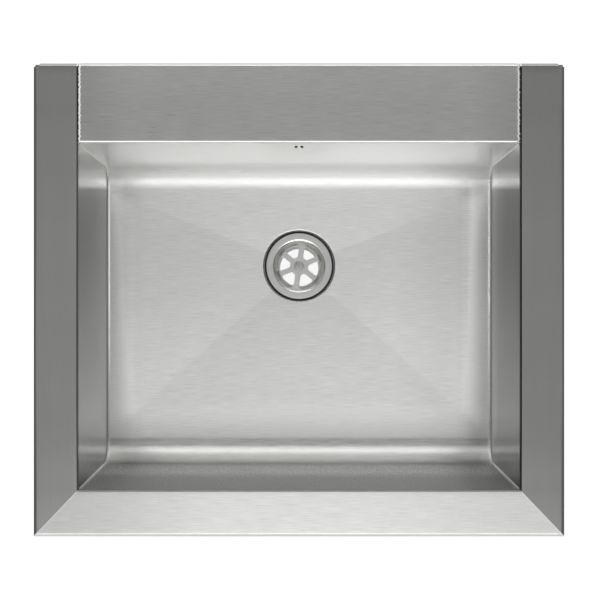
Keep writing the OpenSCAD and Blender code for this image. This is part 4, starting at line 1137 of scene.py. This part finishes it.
# Overflow
def hose_patches():
    """Corrugated hose as one closed surface: down behind the back wall, round a quarter bend and
    forward to the waste body on the outside, and back through its bore."""
    straight = HOSE_TOP - HOSE_Z - HOSE_BEND
    curve = HOSE_BEND * math.pi / 2
    level = HOSE_Y - HOSE_BEND - HOSE_END
    total = straight + curve + level
    s = np.linspace(0, total, 900)
    first, last = straight, straight + curve
    ribs = [(HOSE_SMOOTH, first, 26), (first, last, 15), (last, total - HOSE_SMOOTH, 2)]
    steep = 1.35
    radius = np.full(len(s), HOSE_R)
    for a, b, count in ribs:
        inside = (s >= a) & (s <= b)
        wave = -steep * np.cos(FULL_TURN * (s[inside] - a) / (b - a) * count)
        radius[inside] = HOSE_ROOT + (HOSE_R - HOSE_ROOT) * np.clip(0.5 + 0.5 * wave, 0, 1)
    turn = np.clip((s - first) / HOSE_BEND, 0, math.pi / 2)
    centre_y = HOSE_Y - HOSE_BEND + HOSE_BEND * np.cos(turn) - np.clip(s - last, 0, None)
    centre_z = HOSE_TOP - np.clip(s, 0, first) - HOSE_BEND * np.sin(turn)
    back = slice(None, None, -30)
    path = [np.concatenate([v, v[back], v[:1]]) for v in (centre_y, centre_z, turn, s)]
    radius = np.concatenate([radius, np.full(len(s[back]), HOSE_BORE), radius[:1]])
    angles = np.linspace(0, FULL_TURN, 49)
    centre_y, centre_z, turn, run = (v[:, None] for v in path)
    ty, tz = -np.sin(turn), -np.cos(turn)
    out = radius[:, None] * np.sin(angles)
    points = np.stack([radius[:, None] * np.cos(angles), centre_y - tz * out, centre_z + ty * out], -1)
    grain = np.stack(np.broadcast_arrays(run, HOSE_R * angles), -1)
    return [(points, grain, 0)]


def on_back_wall(points, height):
    """Points drawn with X across, Y up the wall and Z out of it, laid on the back wall's outer face."""
    lean_y = BACK_EDGE + SHEET / math.cos(WALL_LEAN) - (RIM_H - height) * math.tan(WALL_LEAN)
    c, s = math.cos(WALL_LEAN), math.sin(WALL_LEAN)
    x, up, out = points[..., 0], points[..., 1], points[..., 2]
    return np.stack([-x, lean_y + out * c + up * s, height - out * s + up * c], -1)


def dress_overflow():
    """The corrugated hose, and the rubber frame between wall and housing."""
    hose = surface("overflow_hose_corrugated", hose_patches(), "sink", GREY_PLASTIC, 60.0)
    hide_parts("overflow_hose")
    wide, thick, edge, half_x, half_up = 0.009, 0.002, 0.0005, 0.020, 0.019
    section = rounded_section(-wide, 0.0, 0.0, thick, edge)
    points, grain, number = framed(section, half_x, half_up, 24)
    gasket = surface("overflow_gasket_frame", [(on_back_wall(points, SLOT_Z), grain, number)], "sink",
                     RUBBER)
    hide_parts("overflow_gasket")


# Seal and pads
def seal_patches():
    """Foam strip under the rim: rounded section whose free sides wander a little."""
    wide, edge, clear = 0.010, 0.0012, 0.0003
    half = [lip_section(h)[0][0, 0] - clear for h in (HALF_W, HALF_D)]
    section = rounded_section(-wide, 0.0, 0.0, RIM_H - SHEET, edge)
    points, grain, number = framed(section, *half, 160)
    out_of = np.clip(-section[:, 0] / wide, 0, 1)[:, None]
    wander = 0.0006 * waver(points[..., :2], 0.013, 5)
    shrink = 1 + np.where(out_of < 0.5, -1.0, 1.0) * wander / np.abs(points[..., :2]).max(-1)
    points = np.concatenate([points[..., :2] * shrink[..., None], points[..., 2:]], -1)
    return [(points, grain, number)]


def floor_pad_patches():
    """Pad under the floor's slopes, seen from the waste as rays from its round cut-out to its
    rectangular edge. The cut-out opens through the back edge."""
    half, front, back = BOWL_HALF - 2 * FLOOR_BEND, FLOOR_FRONT + FLOOR_BEND, FLOOR_BACK - FLOOR_BEND
    cut, deep, soft = 0.06575, 0.002, 0.0005
    top = back - WASTE_Y
    first = math.pi - math.asin(top / cut)
    last = FULL_TURN + math.asin(top / cut)
    corners = [math.atan2(y - WASTE_Y, x) % FULL_TURN
               for x, y in ((-half, back), (-half, front), (half, front))]
    corners.append(math.atan2(top, half) + FULL_TURN)
    stops = [first] + corners + [last]
    angles = np.unique(np.concatenate([np.linspace(a, b, 40) for a, b in zip(stops[:-1], stops[1:])]))
    c, s = np.cos(angles), np.sin(angles)

    def reach(x, low, high):
        with np.errstate(divide="ignore"):
            return np.minimum(x / np.abs(c), np.where(s > 0, high - WASTE_Y, WASTE_Y - low) / np.abs(s))

    outer = np.maximum(reach(half, front, back), cut)
    floor = reach(BOWL_HALF, FLOOR_FRONT, FLOOR_BACK)
    round_off = np.minimum(soft, (outer - cut) / 2)
    distance, drop = [], []
    for turn in (90, 0, -90, 180):
        edge, sign = (outer, 1) if turn in (90, 0) else (cut, -1)
        for t in np.radians(np.linspace(turn, turn - 90, 5)):
            distance.append(edge - sign * round_off * (1 - abs(math.cos(t))))
            level = soft * (1 - abs(math.sin(t)))
            drop.append(-level if math.sin(t) > -SLACK and turn in (90, 180) else level - deep)
    distance, drop = np.array(distance + distance[:1]), np.array(drop + drop[:1])[:, None]
    z = LOW_Z + (FLOOR_Z - LOW_Z) * distance / floor - SHEET + drop
    points = np.stack([distance * c, WASTE_Y + distance * s, z], -1)
    return [(points, points[..., :2], 0)]


def pad_patches():
    """Pad on the outside of the right-hand end wall: a rounded rectangle in rings that close to a line
    on both faces."""
    half_y, half_z, corner, deep, soft = 0.090, 0.045, 0.006, 0.002, 0.0005
    edge = arc((0, 0), soft, 90, -90, 9)
    rings = [(0.04, deep), (0.03, deep), (0.02, deep), (0.01, deep), (0.004, deep)]
    rings += [(soft - u, deep / 2 + v + math.copysign(deep / 2 - soft, v) if abs(v) > SLACK else deep / 2)
              for u, v in edge]
    rings += [(inset, 0.0) for inset, _ in rings[4::-1]]
    rings = [(half_z, deep)] + rings + [(half_z, 0.0)]
    out = []
    for inset, w in rings:
        r = max(corner - inset, 0.0)
        cy, cz = half_y - max(inset, corner), half_z - max(inset, corner)
        loop = [arc((sy * cy, sz * cz), r, a, a + 90, 9)
                for sy, sz, a in ((1, -1, -90), (1, 1, 0), (-1, 1, 90), (-1, -1, 180))]
        loop = np.concatenate(loop + [loop[0][:1]])
        out.append(np.concatenate([np.full((len(loop), 1), w), loop], -1))
    points = np.stack(out) + [BOWL_HALF + SHEET, (BACK_EDGE - FRONT_EDGE) / 2, FLOOR_Z + FLOOR_BEND + half_z]
    return [(points, points[..., 1:], 0)]


def dress_soft_parts():
    """The foam seal and the sound-deadening pads."""
    seal = surface("rim_seal_foam", seal_patches(), "sink", FOAM)
    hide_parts("rim_seal")
    pad = surface("floor_pad_rubber", floor_pad_patches(), "sink", PAD_RUBBER)
    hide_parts("floor_pad")
    right = pad_patches()
    pads = surface("side_pads_rubber", right + mirrored(right), "sink", PAD_RUBBER)
    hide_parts("side_pads")


# Clips
def clip_screw_patches(x, y):
    """Clamping screw from its tip down: chamfered tip, thread, head with rounded edges and a hexagonal
    socket."""
    top, seat, foot, shank, head = -0.021, -0.057, -0.0605, 0.0025, 0.0045
    pitch, thread_depth, chamfer, upper, lower = 0.0008, 0.0004, 0.0006, 0.0003, 0.0006
    socket_r, socket_depth, socket_chamfer, flare = 0.0025, 0.00175, 0.0002, 1.08
    angles = np.linspace(0, FULL_TURN, 37)
    z = np.linspace(top - chamfer, seat + 0.0005, 225)[:, None]
    flat = np.full((1, 37), 1.0)
    edges = np.concatenate([arc((head - upper, seat - upper), upper, 90, 0, 4),
                            arc((head - lower, foot + lower), lower, 0, -90, 5)])
    socket = hexagon(angles, socket_r)[None]
    rows = thread(z, angles, shank, thread_depth, pitch)
    radius = np.concatenate([0 * flat, (shank - chamfer) * flat, rows, shank * flat, edges[:, :1] * flat,
                             socket * flare, socket, socket, 0 * flat])
    height = np.concatenate([[[top], [top]], z, [[seat]], edges[:, 1:],
                             [[foot], [foot + socket_chamfer], [foot + socket_depth], [foot + socket_depth]]])
    return [turned(radius, height, (x, y, 0.0), angles)]


def dress_clips():
    """Threaded clamping screws, each on its own body."""
    for number, (x, y) in enumerate(CLIPS, 1):
        screw = surface(f"clip_screw_{number}_threaded", clip_screw_patches(x, y), f"clip_{number}_screw",
                        ZINC)
        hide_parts(f"clip_screw_{number}")


# Welds
def weld_bead(wander, seed):
    """Fillet weld in the right-hand corner between end wall and folded sheet, from the top of the front
    wall along the floor to the top of the back wall. Its section is a hollow curve that runs out level on
    both sides. It is widest on the floor, and its toes wander."""
    halves = []
    for edge in (FRONT_EDGE, BACK_EDGE):
        half = sheet_profile(edge)
        halves.append(half[(half[:, 1] < 0.0015) & (half[:, 0] < edge + 0.001)])
    path = np.concatenate([halves[0][::-1] * [-1, 1], halves[1]])
    run = spread(path)
    step, wave_length = 0.0006, 0.0028
    s = np.arange(0, run[-1], step)
    path = np.stack([np.interp(s, run, path[:, k]) for k in (0, 1)], -1)
    along = np.gradient(path, axis=0)
    along /= np.linalg.norm(along, axis=1)[:, None]
    inward = np.stack([-along[:, 1], along[:, 0]], -1)
    widens_from, widens_to = -0.176, -0.186
    flat = np.clip((widens_from - path[:, 1]) / (widens_from - widens_to), 0, 1)
    on_sheet, more_on_floor, on_end_wall, sunk = 0.0013, 0.0014, 0.0012, 0.00005

    def toe(size, draw):
        """How far the weld reaches along its run, by that size, a wander and a seeded draw."""
        return (size * (1 + 2 * wander * (waver(s[:, None], wave_length, seed + draw) - 0.5)))[:, None]

    turn = np.radians(np.linspace(0, 90, 9))
    off_wall = toe(on_sheet + more_on_floor * flat, 1) * np.cos(turn) ** 3 - sunk
    off_sheet = toe(on_end_wall, 2) * np.sin(turn) ** 3 - sunk
    raised = path[:, None] + inward[:, None] * off_sheet[..., None]
    points = np.concatenate([(BOWL_HALF - off_wall)[..., None], raised], -1)
    grain = np.stack(np.broadcast_arrays(0.001 * turn[None], s[:, None]), -1)
    return [(points[:, ::-1], grain[:, ::-1], 0)]


def dress_welds():
    """The fillet welds in the bowl's corners. The right one was laid less evenly."""
    surface("corner_weld_right", weld_bead(0.75, 11), "sink", WELD_STEEL)
    surface("corner_weld_left", mirrored(weld_bead(0.40, 23)), "sink", WELD_STEEL)


# Pieces
def dress_sheets():
    """The three folded sheets, in place of their plain solids."""
    right = side_patches()
    for name, patches, steel, node in (
            ("centre_sheet_skin", centre_patches(), CENTRE_STEEL, "centre_sheet"),
            ("right_sheet_skin", right, [SIDE_STEEL, SHADED_LIP_STEEL], "right_sheet"),
            ("left_sheet_skin", mirrored(right), [SIDE_STEEL, SHADED_LIP_STEEL], "left_sheet")):
        piece = surface(name, patches, "sink", steel)
        thicken(piece, SHEET)
        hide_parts(node)


def paint(material, *names):
    """One finish on CAD nodes that are shown as they are."""
    for name in names:
        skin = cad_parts[name].data.materials
        if len(skin):
            for number in range(len(skin)):
                skin[number] = material
        else:
            skin.append(material)


dress_sheets()
dress_welds()
dress_waste()
dress_overflow()
dress_soft_parts()
dress_clips()
paint(WASTE_PLASTIC_PAINTED_GLOW, "waste_body")
paint(WHITE_PLASTIC, "upper_hose_nut", "lower_hose_nut")
paint(GREY_PLASTIC, "overflow_housing")
paint(BRASS, "waste_insert")
paint(ZINC, "overflow_studs", "overflow_nuts", "clip_brackets", "clip_nuts",
      *[f"clip_claw_{number}" for number in range(1, len(CLIPS) + 1)])


# Studio floor: half its side, its gap under the part, and how it glows to the camera and in reflections
FLOOR_HALF, FLOOR_GAP = 12.0, 0.0005
FLOOR_GLOW, REFLECTED_GLOW = 0.88, 0.60
# Soft light: the sky's level, how far off the softboxes hang and where they point, then each one's name,
# tilt from upright towards the back in degrees, width and depth, and power
SKY_LEVEL = 0.335
LAMP_REACH, LAMP_AIM = 2.2, (0.0, 0.0, -0.05)
LAMPS = [
    ("front_softbox", -47, (1.8, 0.8), 5.8),
    ("front_high_softbox", -35, (1.8, 0.8), 5.9),
    ("overhead_front_softbox", -16, (1.8, 0.4), 3.6),
    ("overhead_back_softbox", 8, (1.8, 0.4), 1.05),
    ("back_softbox", 60, (1.8, 0.8), 14.7),
]
# Camera straight above: its lens and sensor in millimetres, and its place
CAMERA_LENS, CAMERA_SENSOR = 83.6, 36.0
CAMERA_PLACE = (0.0009, -0.0003, 1.295)


def stage_material():
    """Pale studio floor: near white to the camera, where the object's shadow still darkens it, light
    grey in reflections, and plain matt paint to all other light."""
    material = bpy.data.materials.new("studio_floor")
    material.use_nodes = True
    tree = material.node_tree
    tree.nodes.clear()
    path = add(tree, "ShaderNodeLightPath").outputs
    glossy = path["Is Glossy Ray"]
    seen = math_node(tree, "MAXIMUM", path["Is Camera Ray"], glossy)
    seen = math_node(tree, "MAXIMUM", seen, path["Is Transmission Ray"])
    matt = add(tree, "ShaderNodeBsdfDiffuse", {"Color": (0.8, 0.8, 0.8, 1)}).outputs[0]
    shaded = add(tree, "ShaderNodeBsdfDiffuse", {"Color": (0.3, 0.3, 0.3, 1)}).outputs[0]
    strength = weighted(tree, FLOOR_GLOW, (glossy, REFLECTED_GLOW - FLOOR_GLOW))
    glow = add(tree, "ShaderNodeEmission", {"Color": (1, 1, 1, 1), "Strength": strength}).outputs[0]
    white = add(tree, "ShaderNodeAddShader", {0: shaded, 1: glow}).outputs[0]
    either = add(tree, "ShaderNodeMixShader", {0: seen, 1: matt, 2: white}).outputs[0]
    add(tree, "ShaderNodeOutputMaterial", {"Surface": either})
    return material


def build_stage():
    """Floor under the lowest point, soft sky, the softboxes from front to back over the sink, and the
    camera straight above."""
    scene = bpy.context.scene
    mesh = bpy.data.meshes.new("studio_floor")
    r, z = FLOOR_HALF, cad_low.z - FLOOR_GAP
    mesh.from_pydata([(-r, -r, z), (r, -r, z), (r, r, z), (-r, r, z)], [], [(0, 1, 2, 3)])
    mesh.materials.append(stage_material())
    floor = bpy.data.objects.new("studio_floor", mesh)
    scene.collection.objects.link(floor)

    world = bpy.data.worlds.new("studio_sky")
    scene.world = world
    world.use_nodes = True
    tree = world.node_tree
    tree.nodes.clear()
    path = add(tree, "ShaderNodeLightPath").outputs
    sky = add(tree, "ShaderNodeBackground", {"Color": (1, 1, 1, 1), "Strength": SKY_LEVEL}).outputs[0]
    white = add(tree, "ShaderNodeBackground", {"Color": (1, 1, 1, 1), "Strength": 1.0}).outputs[0]
    seen = add(tree, "ShaderNodeMixShader", {0: path["Is Camera Ray"], 1: sky, 2: white}).outputs[0]
    add(tree, "ShaderNodeOutputWorld", {"Surface": seen})

    for name, tilt, size, power in LAMPS:
        light = bpy.data.lights.new(name, "AREA")
        light.shape, light.size, light.size_y, light.energy = "RECTANGLE", size[0], size[1], power
        lamp = bpy.data.objects.new(name, light)
        scene.collection.objects.link(lamp)
        tilt = math.radians(tilt)
        place = Vector((0.0, LAMP_REACH * math.sin(tilt), LAMP_REACH * math.cos(tilt)))
        lamp.location = place
        lamp.rotation_euler = (Vector(LAMP_AIM) - place).to_track_quat("-Z", "Y").to_euler()

    camera = bpy.data.objects.new("camera", bpy.data.cameras.new("camera"))
    camera.data.lens, camera.data.sensor_width = CAMERA_LENS, CAMERA_SENSOR
    camera.data.clip_start, camera.data.clip_end = 0.05, 50.0
    camera.location = CAMERA_PLACE
    scene.collection.objects.link(camera)
    scene.camera = camera
    scene.view_settings.view_transform = "Standard"


build_stage()
